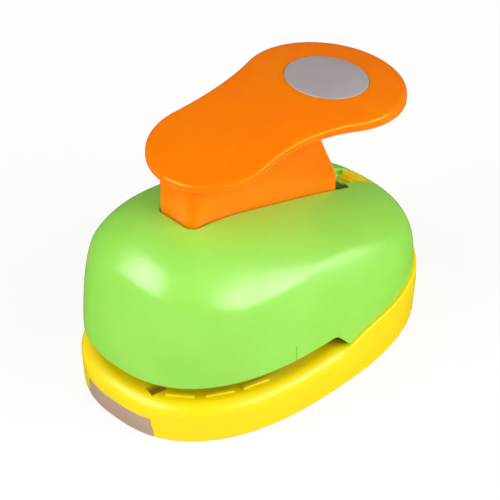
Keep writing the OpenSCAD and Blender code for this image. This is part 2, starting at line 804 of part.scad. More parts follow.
module press_bar() {
    color(white_plastic) translate([0, cut_y, 0]) difference() {
        union() {
            translate([0, 0, bar_z]) linear_extrude(bar_t) {
                square([pin_span, 2 * bar_end_r], center = true);
                circle(d = boss_d);
                for (side = [-1, 1]) translate([side * pin_span / 2, 0]) circle(bar_end_r);
            }
            translate([-pad_wid / 2, -bar_wid / 2, bar_top - 1])
                cube([pad_wid, bar_wid, pad_top - bar_top + 1]);
            // Ribs that stiffen the pad along the bar
            side_rib();
        }
        for (side = [-1, 1]) {
            translate([side * pin_span / 2, 0, bar_z - 1])
                cylinder(d = guide_d + 2 * pin_clear, h = bar_t + 2);
            translate([side * bar_screw_x, 0, bar_z - 1]) cylinder(d = screw_d, h = thread_bite + 1);
        }
    }
}

// Sloping web from the pad down to both ends of the press bar
module side_rib() {
    rib_t = 3;
    rib_drop = 3;
    reach = pin_span / 2 - guide_d;
    rotate([90, 0, 0]) linear_extrude(rib_t, center = true) polygon([
        [-reach, bar_top - 1], [reach, bar_top - 1], [reach, bar_top],
        [pad_wid / 2, pad_top - rib_drop], [-pad_wid / 2, pad_top - rib_drop], [-reach, bar_top]]);
}

module bar_screws() {
    color(dark_steel) for (side = [-1, 1])
        translate([side * bar_screw_x, cut_y, web_top - web_t])
            screw(bar_z - web_top + web_t + thread_bite - 1);
}

// Lever

function crown_z(x, y) = paddle_z - (x * x + pow(y - crown_y, 2)) / (2 * crown_r);

// Outline of the paddle, two lobes with a waist arc on each side, drawn in by an inset
function paddle_outline(inset) =
    let (right_waist = arc([waist_x, waist_y], waist_r + inset, 180 + back_turn, 180 + front_turn, 10),
         front = arc([0, front_lobe_y], front_lobe_r - inset, front_turn, -180 - front_turn, 26),
         back = arc([0, back_lobe_y], back_lobe_r - inset, 180 - back_turn, back_turn, 34),
         left_waist = [for (i = [10 : -1 : 0]) [-right_waist[i].x, right_waist[i].y]])
    concat(inner(right_waist), front, inner(left_waist), back);

function inner(list) = [for (i = [1 : len(list) - 2]) list[i]];

// Ring of the paddle, drawn in and lowered from the crown, and shrunk towards the crown's top
function paddle_ring(inset, drop, size = 1) = [for (p = paddle_outline(inset))
    let (x = p.x * size, y = crown_y + (p.y - crown_y) * size) [x, y, crown_z(x, y) - drop]];

// Paddle with a round upper edge and a hollow underside
module paddle() {
    r = paddle_edge_r;
    draft = 0.4;
    low_edge = 0.8;
    low_edge_h = 1;
    under_sizes = [0.25, 0.6, 1];
    over_sizes = [0.7, 0.4, 0.15];
    under = concat([for (s = under_sizes) paddle_ring(paddle_rim + draft, paddle_skin, s)],
        [paddle_ring(paddle_rim, paddle_t)]);
    over = concat([paddle_ring(low_edge, paddle_t), paddle_ring(0, paddle_t - low_edge_h)],
        [for (a = [0 : 30 : 90]) paddle_ring(r * (1 - cos(a)), r * (1 - sin(a)))],
        [for (s = over_sizes) paddle_ring(r, 0, s)]);
    rings = concat(under, over);
    steps = len(rings[0]);
    stack([for (ring = rings) [for (i = [steps - 1 : -1 : 0]) ring[i]]], steps);
}

// Side view of the stem: hub, nose, hollow box with a round back and a neck under the paddle
module stem_outline(inset = 0) {
    back = [stem_back_y - stem_back_r, stem_back_z];
    turn = 45;
    joint = back + (stem_back_r + neck_r) * [cos(turn), sin(turn)];
    polygon(concat(
        [[stem_front_y + inset, pivot_z]],
        [for (k = [0 : 8]) let (y = mix(stem_front_y + inset, joint.x - neck_r - inset, k / 8))
            [y, crown_z(0, y) - paddle_skin / 2 - inset]],
        arc(joint, neck_r + inset, 180, 180 + turn, 6),
        arc(back, stem_back_r - inset, turn, 0, 10),
        [[stem_back_y - inset, stem_low_z], relief_low, relief_top, [nose_y, nose_z], [pivot_y, pivot_z]]));
}

// Strap that swings down behind the stem, with an eye for the lock's bolt
module lock_strap() {
    tip_angle = eye_angle - atan(eye_h / strap_r);
    root_z = crown_z(0, pivot_y + strap_r) - paddle_skin / 2;
    root_angle = asin((root_z - pivot_z) / strap_r);
    translate([0, pivot_y, pivot_z]) side_slab(strap_wid) polygon(concat(
        arc([0, 0], strap_r, tip_angle, root_angle, 8),
        arc([0, 0], strap_r - strap_t, root_angle, tip_angle, 8)));
}

module lever_handle() {
    hollow_front = nose_y + nose_r + stem_wall;
    rib_t = 1.6;
    rib_step = 8;
    rib_ys = [back_lobe_y + rib_step, back_lobe_y + 2 * rib_step];
    color(orange) difference() {
        union() {
            paddle();
            difference() {
                intersection() {
                    side_slab(stem_wid) union() {
                        stem_outline();
                        translate([pivot_y, pivot_z]) circle(hub_r);
                        translate([nose_y, nose_z]) circle(nose_r);
                    }
                    linear_extrude(2 * paddle_z) stem_plan(0, stem_back_y);
                }
                // Hollow of the stem, open below
                intersection() {
                    side_slab(stem_wid - 2 * stem_wall) union() {
                        stem_outline(stem_wall);
                        translate([hollow_front, 0])
                            square([stem_back_y - stem_wall - hollow_front, stem_back_z]);
                    }
                    translate([-stem_wid / 2, hollow_front, 0]) cube([stem_wid, body_len, paddle_z]);
                }
            }
            lock_strap();
            // Ribs under the back lobe
            for (y = rib_ys) {
                half = sqrt(pow(back_lobe_r - paddle_rim, 2) - pow(y - back_lobe_y, 2)) + 1;
                translate([-half, y - rib_t / 2, crown_z(0, y) - paddle_t + 1])
                    cube([2 * half, rib_t, paddle_t - paddle_skin - 0.4]);
            }
        }
        translate([0, pivot_y, pivot_z]) cross_cylinder(pivot_d / 2 + pin_clear, stem_wid + 2);
        // Eye of the strap
        translate([0, pivot_y, pivot_z]) rotate([eye_angle, 0, 0])
            translate([0, strap_mid_r, 0]) cube([bolt_wid + 2 * run, 3 * strap_t, eye_h], center = true);
        badge_seat() cylinder(d = badge_d + 2 * fit, h = paddle_t);
    }
}

// Moves children to the badge's seat, square to the crown
module badge_seat() {
    tilt = asin((badge_y - crown_y) / crown_r);
    badge_sink = pow(badge_d, 2) / (16 * crown_r);
    translate([0, badge_y, crown_z(0, badge_y)]) rotate([-tilt, 0, 0])
        translate([0, 0, -badge_t - badge_sink]) children();
}

module shape_badge() {
    bevel = 0.3;
    color(grey) badge_seat() {
        cylinder(d = badge_d, h = badge_t - bevel);
        translate([0, 0, badge_t - bevel]) cylinder(d1 = badge_d, d2 = badge_d - 2 * bevel, h = bevel);
    }
}

module pivot_pin() {
    color(steel) translate([0, pivot_y, pivot_z]) difference() {
        cross_cylinder(pivot_d / 2, 2 * pin_half);
        for (side = [-1, 1]) translate([side * (clip_x + clip_t / 2), 0, 0]) difference() {
            cross_cylinder(pivot_d, clip_t + 2 * fit);
            cross_cylinder(groove_d / 2, clip_t + 4 * fit);
        }
    }
}

module pin_clip() {
    color(dark_steel) translate([clip_x + clip_t / 2, pivot_y, pivot_z]) difference() {
        cross_cylinder(pivot_d, clip_t);
        cross_cylinder(groove_d / 2 + pin_clear, 2 * clip_t);
        translate([-clip_t, -groove_d * 0.4, -2 * pivot_d]) cube([2 * clip_t, groove_d * 0.8, 2 * pivot_d]);
    }
}

module pin_clip_right() pin_clip();
module pin_clip_left() mirror([1, 0, 0]) pin_clip();

// Lock

module lock_slide() {
    grip_rise = 0.5;
    grooves = 3;
    groove_step = 2.4;
    groove_r = 0.6;
    groove_lift = 0.35;
    color(yellow) {
        difference() {
            intersection() {
                on_track() translate([0, 0, track_floor + track_play]) linear_extrude(ridge_z) tongue(0);
                translate([0, 0, grip_rise]) dome_solid(0);
            }
            // Grip grooves across the tongue
            for (k = [0 : grooves - 1]) on_track() translate([0, k * groove_step + 1, groove_lift])
                cross_cylinder(groove_r, 2 * lock_wid);
        }
        on_track() translate([-post_wid / 2, -post_len / 2, keeper_top - bolt_t])
            cube([post_wid, post_len, track_floor + track_play - keeper_top + bolt_t + eps]);
    }
}

module lock_keeper() {
    color(white_plastic) on_track() difference() {
        union() {
            translate([-keeper_wid / 2, -keeper_len / 2 + 1, keeper_top - bolt_t])
                cube([keeper_wid, keeper_len, bolt_t]);
            translate([-bolt_wid / 2, -bolt_reach, keeper_top - bolt_t])
                cube([bolt_wid, bolt_reach, bolt_t]);
        }
        translate([-post_wid / 2, -post_len / 2, keeper_top - 2 * bolt_t])
            cube([post_wid, post_len, 3 * bolt_t]);
    }
}

base_shell();
front_plate();
cover_shell();
cover_screws();
die_plate();
throat_spacer();
guide_plate();
die_screws();
guide_pin_left();
guide_pin_right();
return_spring_left();
return_spring_right();
cutter();
press_bar();
bar_screws();
lever_handle();
shape_badge();
pivot_pin();
pin_clip_left();
pin_clip_right();
lock_slide();
lock_keeper();
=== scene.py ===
"""Looks of a circle craft punch with a lever handle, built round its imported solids.

The paper mouth faces -Y, +Z is up, the base rests on z = 0 and X = 0 is the plane of symmetry.
Sizes are in millimetres and turn into metres where a mesh is made.
"""

import logging
import math
from collections.abc import Callable, Iterable, Sequence
from dataclasses import dataclass
from enum import Enum
from typing import ClassVar

import bmesh
import bpy
from mathutils import Matrix, Vector


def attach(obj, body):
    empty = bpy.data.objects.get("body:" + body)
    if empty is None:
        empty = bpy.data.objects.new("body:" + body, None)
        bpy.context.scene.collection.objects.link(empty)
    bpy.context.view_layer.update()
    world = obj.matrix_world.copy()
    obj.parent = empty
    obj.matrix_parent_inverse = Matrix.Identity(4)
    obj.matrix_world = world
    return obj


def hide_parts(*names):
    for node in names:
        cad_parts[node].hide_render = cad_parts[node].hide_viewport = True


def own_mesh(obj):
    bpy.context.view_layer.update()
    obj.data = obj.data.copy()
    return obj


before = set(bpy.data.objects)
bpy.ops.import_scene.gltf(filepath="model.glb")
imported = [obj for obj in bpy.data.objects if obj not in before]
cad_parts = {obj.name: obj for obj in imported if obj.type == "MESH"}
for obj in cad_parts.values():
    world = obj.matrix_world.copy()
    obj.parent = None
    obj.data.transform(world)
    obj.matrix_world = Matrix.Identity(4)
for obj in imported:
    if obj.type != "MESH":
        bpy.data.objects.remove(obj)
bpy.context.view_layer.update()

MM = 0.001
# Corners that lie closer than this are one, in metres
SEAM = 1e-6
# Reach of a tool that has to pass right through what it cuts, in millimetres
THROUGH = 20.0
# Far end of a tool that starts inside the body and ends outside it, in millimetres
BEYOND = 80.0
SIDES = (-1, 1)
log = logging.getLogger("craft_punch")

Plan = tuple[float, float]
Point = tuple[float, float, float]
Solid = bpy.types.Object
Tree = bpy.types.NodeTree
Socket = bpy.types.NodeSocket


class Join(Enum):
    """How a tool solid acts on a piece."""

    CUT = "DIFFERENCE"
    WELD = "UNION"
    KEEP = "INTERSECT"


class Bodies(Enum):
    """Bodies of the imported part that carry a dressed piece."""

    BODY = "body"
    LEVER = "lever"
    LOCK = "lock"


def mix(a: float, b: float, share: float) -> float:
    """Value between a and b at a share of the way."""
    return a + (b - a) * share


def ease(value: float) -> float:
    """Smooth step of a value that is held between 0 and 1."""
    held = max(0.0, min(1.0, value))
    return held * held * (3 - 2 * held)


def arc(center: Plan, radius: float, start: float, end: float, steps: int) -> list[Plan]:
    """Points along an arc, one more than its steps, between two angles in degrees."""
    turns = [math.radians(mix(start, end, i / steps)) for i in range(steps + 1)]
    return [(center[0] + radius * math.cos(a), center[1] + radius * math.sin(a)) for a in turns]


def rounded(half: float, back: float, front: float, radii: Plan, grow: float, steps: int) -> list[Plan]:
    """Box outline with round corners, the same on both sides of X = 0.

    Args:
        half: Half its width.
        back: Place of its back edge.
        front: Place of its front edge.
        radii: Radius of the back corners and of the front ones.
        grow: How far the outline is moved outwards.
        steps: Steps round each corner.

    Returns:
        Points in order, from the back right corner.
    """
    back_r, front_r = radii
    corners = [(half - back_r, back - back_r, back_r), (back_r - half, back - back_r, back_r),
               (front_r - half, front + front_r, front_r), (half - front_r, front + front_r, front_r)]
    return [point for i, (x, y, radius) in enumerate(corners)
            for point in arc((x, y), radius + grow, 90 * i, 90 * i + 90, steps)]


def curve(knots: Sequence[Plan], place: float) -> float:
    """Smooth line through knots, held level beyond its ends.

    Args:
        knots: Place and value of each knot, in rising order of place.
        place: Place to read the line at.

    Returns:
        Value of the line.
    """
    if place <= knots[0][0]:
        return knots[0][1]
    for i in range(len(knots) - 1):
        (x0, y0), (x1, y1) = knots[i], knots[i + 1]
        if place <= x1:
            before, after = knots[max(0, i - 1)], knots[min(len(knots) - 1, i + 2)]
            lead, trail = (y1 - before[1]) / (x1 - before[0]), (after[1] - y0) / (after[0] - x0)
            t, span = (place - x0) / (x1 - x0), x1 - x0
            return (y0 * (1 + 2 * t) * (1 - t) ** 2 + lead * span * t * (1 - t) ** 2
                    + y1 * t * t * (3 - 2 * t) + trail * span * t * t * (t - 1))
    return knots[-1][1]


def linear(code: str) -> tuple[float, float, float, float]:
    """Linear colour with full alpha from an sRGB hex code."""
    parts = [int(code[i:i + 2], 16) / 255 for i in (1, 3, 5)]
    return (*(c / 12.92 if c <= 0.04045 else ((c + 0.055) / 1.055) ** 2.4 for c in parts), 1.0)


class Bench:
    """Hand tools: each one is a few operators on one piece."""

    @staticmethod
    def hold(*pieces: Solid) -> None:
        """Leave edit mode and select only these pieces, with the first one active.

        Args:
            pieces: Pieces to select, or none.
        """
        if bpy.context.object is not None and bpy.context.object.mode != "OBJECT":
            bpy.ops.object.mode_set(mode="OBJECT")
        bpy.ops.object.select_all(action="DESELECT")
        for piece in pieces:
            piece.select_set(True)
        if pieces:
            bpy.context.view_layer.objects.active = pieces[0]

    @staticmethod
    def take(name: str) -> Solid:
        """Name the primitive that was just added.

        Args:
            name: Name of the piece and of its mesh.

        Returns:
            The piece.
        """
        piece = bpy.context.object
        piece.name = piece.data.name = name
        return piece

    @classmethod
    def edit(cls, piece: Solid, work: Callable[[], object]) -> None:
        """Do some work on all of a piece in edit mode.

        Args:
            piece: Piece to work on.
            work: Operators to run while everything is selected.
        """
        cls.hold(piece)
        bpy.ops.object.mode_set(mode="EDIT")
        bpy.ops.mesh.select_all(action="SELECT")
        work()
        bpy.ops.object.mode_set(mode="OBJECT")

    @classmethod
    def close(cls, piece: Solid) -> Solid:
        """Merge seams and poles, fill open rims with flat faces and turn the faces outwards.

        Args:
            piece: Open wall.

        Returns:
            The same piece, closed.
        """
        def work() -> None:
            """Close the selected mesh."""
            bpy.ops.mesh.remove_doubles(threshold=SEAM)
            bpy.ops.mesh.fill_holes(sides=0)
            bpy.ops.mesh.select_all(action="SELECT")
            bpy.ops.mesh.normals_make_consistent(inside=False)
        cls.edit(piece, work)
        return piece

    @classmethod
    def sheet(cls, name: str, columns: int, rows: int, surface: Callable[[int, int], Point]) -> Solid:
        """Bend a grid round into a lofted wall with merged seam, open at its rims.

        Args:
            name: Name of the piece.
            columns: Faces round the wall.
            rows: Faces up the wall.
            surface: Place of the corner at a column and row, in millimetres.

        Returns:
            The wall, with its faces turned one way.
        """
        cls.hold()
        bpy.ops.mesh.primitive_grid_add(x_subdivisions=columns, y_subdivisions=rows, size=2)
        piece = cls.take(name)
        for vertex in piece.data.vertices:
            column = round((vertex.co.x + 1) / 2 * columns)
            row = round((vertex.co.y + 1) / 2 * rows)
            vertex.co = Vector(surface(column, row)) * MM

        def work() -> None:
            """Merge the selected seam."""
            bpy.ops.mesh.remove_doubles(threshold=SEAM)
            bpy.ops.mesh.normals_make_consistent(inside=False)
        cls.edit(piece, work)
        return piece

    @classmethod
    def prism(cls, name: str, outline: Sequence[Plan], low: float, high: float,
              place: Matrix | None = None) -> Solid:
        """Draw an outline on a filled circle and extrude it along Z.

        Args:
            name: Name of the piece.
            outline: Corners in order, in millimetres.
            low: Height of the lower face.
            high: Height of the upper face.
            place: Turn and move of the finished prism, in millimetres.

        Returns:
            A closed prism.
        """
        cls.hold()
        bpy.ops.mesh.primitive_circle_add(vertices=len(outline), fill_type="NGON")
        piece = cls.take(name)
        for vertex, corner in zip(piece.data.vertices, outline):
            vertex.co = (corner[0] * MM, corner[1] * MM, low * MM)
        rise = {"value": (0, 0, (high - low) * MM)}
        cls.edit(piece, lambda: bpy.ops.mesh.extrude_region_move(TRANSFORM_OT_translate=rise))
        cls.place(piece, place)
        return cls.close(piece)

    @classmethod
    def block(cls, name: str, low: Point, high: Point, place: Matrix | None = None) -> Solid:
        """Add a cube and stretch it between two corners.

        Args:
            name: Name of the piece.
            low: Its lowest corner, in millimetres.
            high: Its highest corner, in millimetres.
            place: Turn and move of the finished block, in millimetres.

        Returns:
            The block.
        """
        cls.hold()
        bpy.ops.mesh.primitive_cube_add(size=1)
        piece = cls.take(name)
        for vertex in piece.data.vertices:
            vertex.co = [mix(a, b, c + 0.5) * MM for a, b, c in zip(low, high, vertex.co)]
        cls.place(piece, place)
        return piece

    @classmethod
    def rod(cls, name: str, radius: float, low: float, high: float, place: Matrix | None = None,
            sides: int = 64) -> Solid:
        """Add a cylinder along Z.

        Args:
            name: Name of the piece.
            radius: Its radius, in millimetres.
            low: Height of its lower end.
            high: Height of its upper end.
            place: Turn and move of the finished rod, in millimetres.
            sides: Faces round it.

        Returns:
            The rod.
        """
        cls.hold()
        bpy.ops.mesh.primitive_cylinder_add(vertices=sides, radius=radius * MM, depth=(high - low) * MM)
        piece = cls.take(name)
        piece.data.transform(Matrix.Translation((0, 0, (high + low) / 2 * MM)))
        cls.place(piece, place)
        return piece

    @staticmethod
    def place(piece: Solid, place: Matrix | None) -> None:
        """Put a turn and a move into a piece's mesh.

        Args:
            piece: Piece to place.
            place: Turn and move in millimetres, or nothing.
        """
        if place is not None:
            turned = place.copy()
            turned.translation = place.translation * MM
            piece.data.transform(turned)

    @classmethod
    def modify(cls, piece: Solid, kind: str, **settings: object) -> None:
        """Add a modifier and apply it.

        Args:
            piece: Piece to change.
            kind: Blender's name of the modifier's type.
            settings: Attributes of the modifier.
        """
        cls.hold(piece)
        modifier = piece.modifiers.new(kind.lower(), kind)
        for key, value in settings.items():
            setattr(modifier, key, value)
        bpy.ops.object.modifier_apply(modifier=modifier.name)

    @classmethod
    def join(cls, piece: Solid, tool: Solid, how: Join) -> None:
        """Cut, weld or keep a piece with a tool solid, which is then thrown away."""
        cls.modify(piece, "BOOLEAN", object=tool, operation=how.value, solver="EXACT")
        bpy.data.objects.remove(tool)

    @classmethod
    def round_edges(cls, piece: Solid, radius: float, pick: Callable[[Vector, float, float], bool],
                    segments: int = 3) -> None:
        """Bevel the edges that a test picks.

        Args:
            piece: Piece to round.
            radius: Width of the bevel, in millimetres.
            pick: Test on an edge's middle in millimetres, how upright it is and its angle in degrees.
            segments: Faces across the bevel.
        """
        cls.hold(piece)
        shape = bmesh.new()
        shape.from_mesh(piece.data)
        chosen = []
        for edge in shape.edges:
            a, b = (v.co / MM for v in edge.verts)
            if pick((a + b) / 2, abs((b - a).normalized().z), math.degrees(edge.calc_face_angle(0.0))):
                chosen.append(edge.index)
        shape.free()
        mesh = piece.data
        for items in (mesh.vertices, mesh.edges, mesh.polygons):
            items.foreach_set("select", [False] * len(items))
        for index in chosen:
            mesh.edges[index].select = True
        bpy.context.tool_settings.mesh_select_mode = (False, True, False)
        bpy.ops.object.mode_set(mode="EDIT")
        bpy.ops.mesh.bevel(offset=radius * MM, segments=segments, profile=0.5, clamp_overlap=True)
        bpy.ops.object.mode_set(mode="OBJECT")
        bpy.context.tool_settings.mesh_select_mode = (True, False, False)

    @classmethod
    def polish(cls, piece: Solid, angle: float = 32) -> None:
        """Shade faces smooth where they meet at less than an angle, in degrees."""
        cls.hold(piece)
        bpy.ops.object.shade_smooth_by_angle(angle=math.radians(angle))


# Finishes

# Part of a noise pattern's range in which most of its values lie
MIDDLE = (0.3, 0.7)


def add_node(tree: Tree, kind: str, inputs: dict[str | int, object] | None = None,
             stops: Iterable[tuple[float, str]] = (), **settings: object) -> bpy.types.Node:
    """Add a shader node.

    Args:
        tree: Node tree of the material or world.
        kind: Blender's name of the node's type.
        inputs: Value, or socket to link from, by input name or index.
        stops: Place and hex code of each stop, for a colour ramp.
        settings: Attributes of the node.

    Returns:
        The new node.
    """
    node = tree.nodes.new(kind)
    for key, value in settings.items():
        setattr(node, key, value)
    for i, (place, code) in enumerate(stops):
        node.color_ramp.elements[i].position = place
        node.color_ramp.elements[i].color = linear(code)
    for key, value in (inputs or {}).items():
        if isinstance(value, bpy.types.NodeSocket):
            tree.links.new(value, node.inputs[key])
        else:
            node.inputs[key].default_value = value
    return node


@dataclass(frozen=True)
class Finish:
    """Common part of a finish: a new material with a principled shader on Object coordinates."""

    name: str

    def start(self) -> tuple[bpy.types.Material, Tree, Socket]:
        """Make an empty material.

        Returns:
            The material, its node tree and the socket of Object coordinates.
        """
        material = bpy.data.materials.new(self.name)
        material.use_nodes = True
        tree = material.node_tree
        tree.nodes.clear()
        return material, tree, add_node(tree, "ShaderNodeTexCoord").outputs["Object"]

    @staticmethod
    def end(tree: Tree, **inputs: object) -> None:
        """Add the principled shader and link it to the output.

        Args:
            tree: Node tree of the material.
            inputs: Inputs of the shader, with underscores for spaces.
        """
        named = {key.replace("_", " "): value for key, value in inputs.items()}
        shader = add_node(tree, "ShaderNodeBsdfPrincipled", named)
        add_node(tree, "ShaderNodeOutputMaterial", {"Surface": shader.outputs["BSDF"]})


@dataclass(frozen=True)
class MouldedPlastic(Finish):
    """Injection moulded plastic: even pigment, a polished tool's gloss and a trace of sink and flow."""

    light: str = "#FFFFFF"
    deep: str = "#EEEEEE"
    gloss: Plan = (0.29, 0.35)
    cloud_mm: float = 22.0
    peel_mm: float = 2.4
    peel_depth_mm: float = 0.012
    ior: float = 1.53
    depth: Point = (1.0, 0.45, 0.1)
    depth_mm: float = 1.6
    milk: float = 0.35
    shine: float = 1.0
    glint: str = "#FFFFFF"

    def make(self) -> bpy.types.Material:
        """Build the material.

        Returns:
            The material.
        """
        material, tree, place = self.start()
        # Pigment drifts a little across the moulding, at the size of the flow fronts
        cloud = add_node(tree, "ShaderNodeTexNoise", {
            "Vector": place, "Scale": 1 / (self.cloud_mm * MM), "Detail": 3.0, "Roughness": 0.55})
        tint = add_node(tree, "ShaderNodeValToRGB", {"Fac": cloud.outputs["Fac"]},
                        zip(MIDDLE, (self.deep, self.light)))
        # Polishing haze is finer than the drift and softens the highlights unevenly
        haze = add_node(tree, "ShaderNodeTexNoise", {
            "Vector": place, "Scale": 3 / (self.cloud_mm * MM), "Detail": 4.0, "Roughness": 0.6})
        dull = add_node(tree, "ShaderNodeMapRange", {
            "Value": haze.outputs["Fac"], "From Min": MIDDLE[0], "From Max": MIDDLE[1],
            "To Min": self.gloss[0], "To Max": self.gloss[1]})
        # Orange peel of the tool's surface, drawn a little coarser than real so that it shows
        peel = add_node(tree, "ShaderNodeTexNoise", {
            "Vector": place, "Scale": 1 / (self.peel_mm * MM), "Detail": 2.0, "Roughness": 0.5})
        bump = add_node(tree, "ShaderNodeBump", {
            "Height": peel.outputs["Fac"], "Strength": 0.5, "Distance": self.peel_depth_mm * MM})
        # Light goes a little way into the pigment and comes out warmer, which lifts the shadows' colour
        self.end(tree, Base_Color=tint.outputs["Color"], Roughness=dull.outputs["Result"], IOR=self.ior,
                 Specular_IOR_Level=self.shine, Specular_Tint=linear(self.glint),
                 Subsurface_Weight=self.milk, Subsurface_Radius=self.depth,
                 Subsurface_Scale=self.depth_mm * MM, Normal=bump.outputs["Normal"])
        return material


@dataclass(frozen=True)
class GroundSteel(Finish):
    """Steel with grinding lines along one direction."""

    light: str = "#C9CDD0"
    deep: str = "#A9AEB3"
    gloss: Plan = (0.26, 0.42)
    line_mm: float = 0.5
    line_depth_mm: float = 0.01
    stretch: Point = (1.0, 14.0, 1.0)

    def make(self) -> bpy.types.Material:
        """Build the material.

        Returns:
            The material.
        """
        material, tree, place = self.start()
        # Grinding lines are fine across and long along the stroke of the wheel
        turned = add_node(tree, "ShaderNodeMapping", {
            "Vector": place, "Scale": tuple(1 / s for s in self.stretch)})
        lines = add_node(tree, "ShaderNodeTexNoise", {
            "Vector": turned.outputs["Vector"], "Scale": 1 / (self.line_mm * MM), "Detail": 5.0,
            "Roughness": 0.65})
        tint = add_node(tree, "ShaderNodeValToRGB", {"Fac": lines.outputs["Fac"]},
                        zip(MIDDLE, (self.deep, self.light)))
        dull = add_node(tree, "ShaderNodeMapRange", {
            "Value": lines.outputs["Fac"], "From Min": MIDDLE[0], "From Max": MIDDLE[1],
            "To Min": self.gloss[0], "To Max": self.gloss[1]})
        bump = add_node(tree, "ShaderNodeBump", {
            "Height": lines.outputs["Fac"], "Strength": 0.25, "Distance": self.line_depth_mm * MM})
        self.end(tree, Base_Color=tint.outputs["Color"], Metallic=1.0, Roughness=dull.outputs["Result"],
                 Normal=bump.outputs["Normal"])
        return material


class Finishes:
    """Every finish of the punch, made once and looked up by its slot."""

    def __init__(self) -> None:
        """Make the materials."""
        even, dull = (1.0, 1.0, 1.0), (0.4, 0.55)
        kinds: dict[str, Finish] = {
            # Gloss mouldings: a clear mirror of the soft boxes on a bright, even colour
            "green_abs": MouldedPlastic("green_abs_gloss_moulded", light="#9EE158", deep="#94DC4C"),
            "yellow_abs": MouldedPlastic("yellow_abs_gloss_moulded", light="#FFE003", deep="#FFDB00",
                                         glint="#FFF8C0", milk=0.3, depth_mm=1.2),
            "orange_abs": MouldedPlastic("orange_abs_gloss_moulded", light="#FF8400", deep="#FF7B00",
                                         glint="#FFDC70", gloss=(0.16, 0.2), milk=0.5, depth_mm=2.5),
            # Fine grain, which breaks the highlights up
            "grey_insert": MouldedPlastic("grey_abs_spark_eroded", light="#BEA28A", deep="#B2967F",
                                          gloss=(0.42, 0.52), peel_mm=0.6, peel_depth_mm=0.03),
            "grey_badge": MouldedPlastic("grey_badge_satin_lacquer", light="#AEA5A6", deep="#A49B9E",
                                         gloss=(0.4, 0.5), peel_mm=0.7, peel_depth_mm=0.02),
            # Slightly waxy, as acetal is
            "white_acetal": MouldedPlastic("natural_acetal_moulded", light="#EAE8E0", deep="#DEDBD0",
                                           gloss=(0.35, 0.45)),
            # Bright steel with the marks of the wheel, on pins along their axis
            "tool_steel": GroundSteel("tool_steel_surface_ground"),
            "ground_steel": GroundSteel("silver_steel_centreless_ground", stretch=(1.0, 1.0, 0.2)),
            # Drawn wire and strip, darker and smeared along the draw
            "spring_steel": GroundSteel("spring_steel_drawn", light="#A2A8AD", deep="#7C8288"),
            # Plated and blackened parts have a cloudy skin without direction
            "zinc_screw": GroundSteel("steel_zinc_plated", light="#CBD0D2", deep="#AEB6B8",
                                      line_mm=0.9, stretch=even),
            "black_screw": GroundSteel("steel_blackened", light="#46494C", deep="#2E3133",
                                       line_mm=0.8, stretch=even, gloss=dull),
            "black_clip": GroundSteel("spring_steel_blackened", light="#505458", deep="#35383B",
                                      stretch=even, gloss=dull),
        }
        self.made = {slot: kind.make() for slot, kind in kinds.items()}

    def wear(self, piece: Solid, slot: str) -> None:
        """Give a piece one finish all over."""
        piece.data.materials.clear()
        piece.data.materials.append(self.made[slot])


# Forms that several pieces share


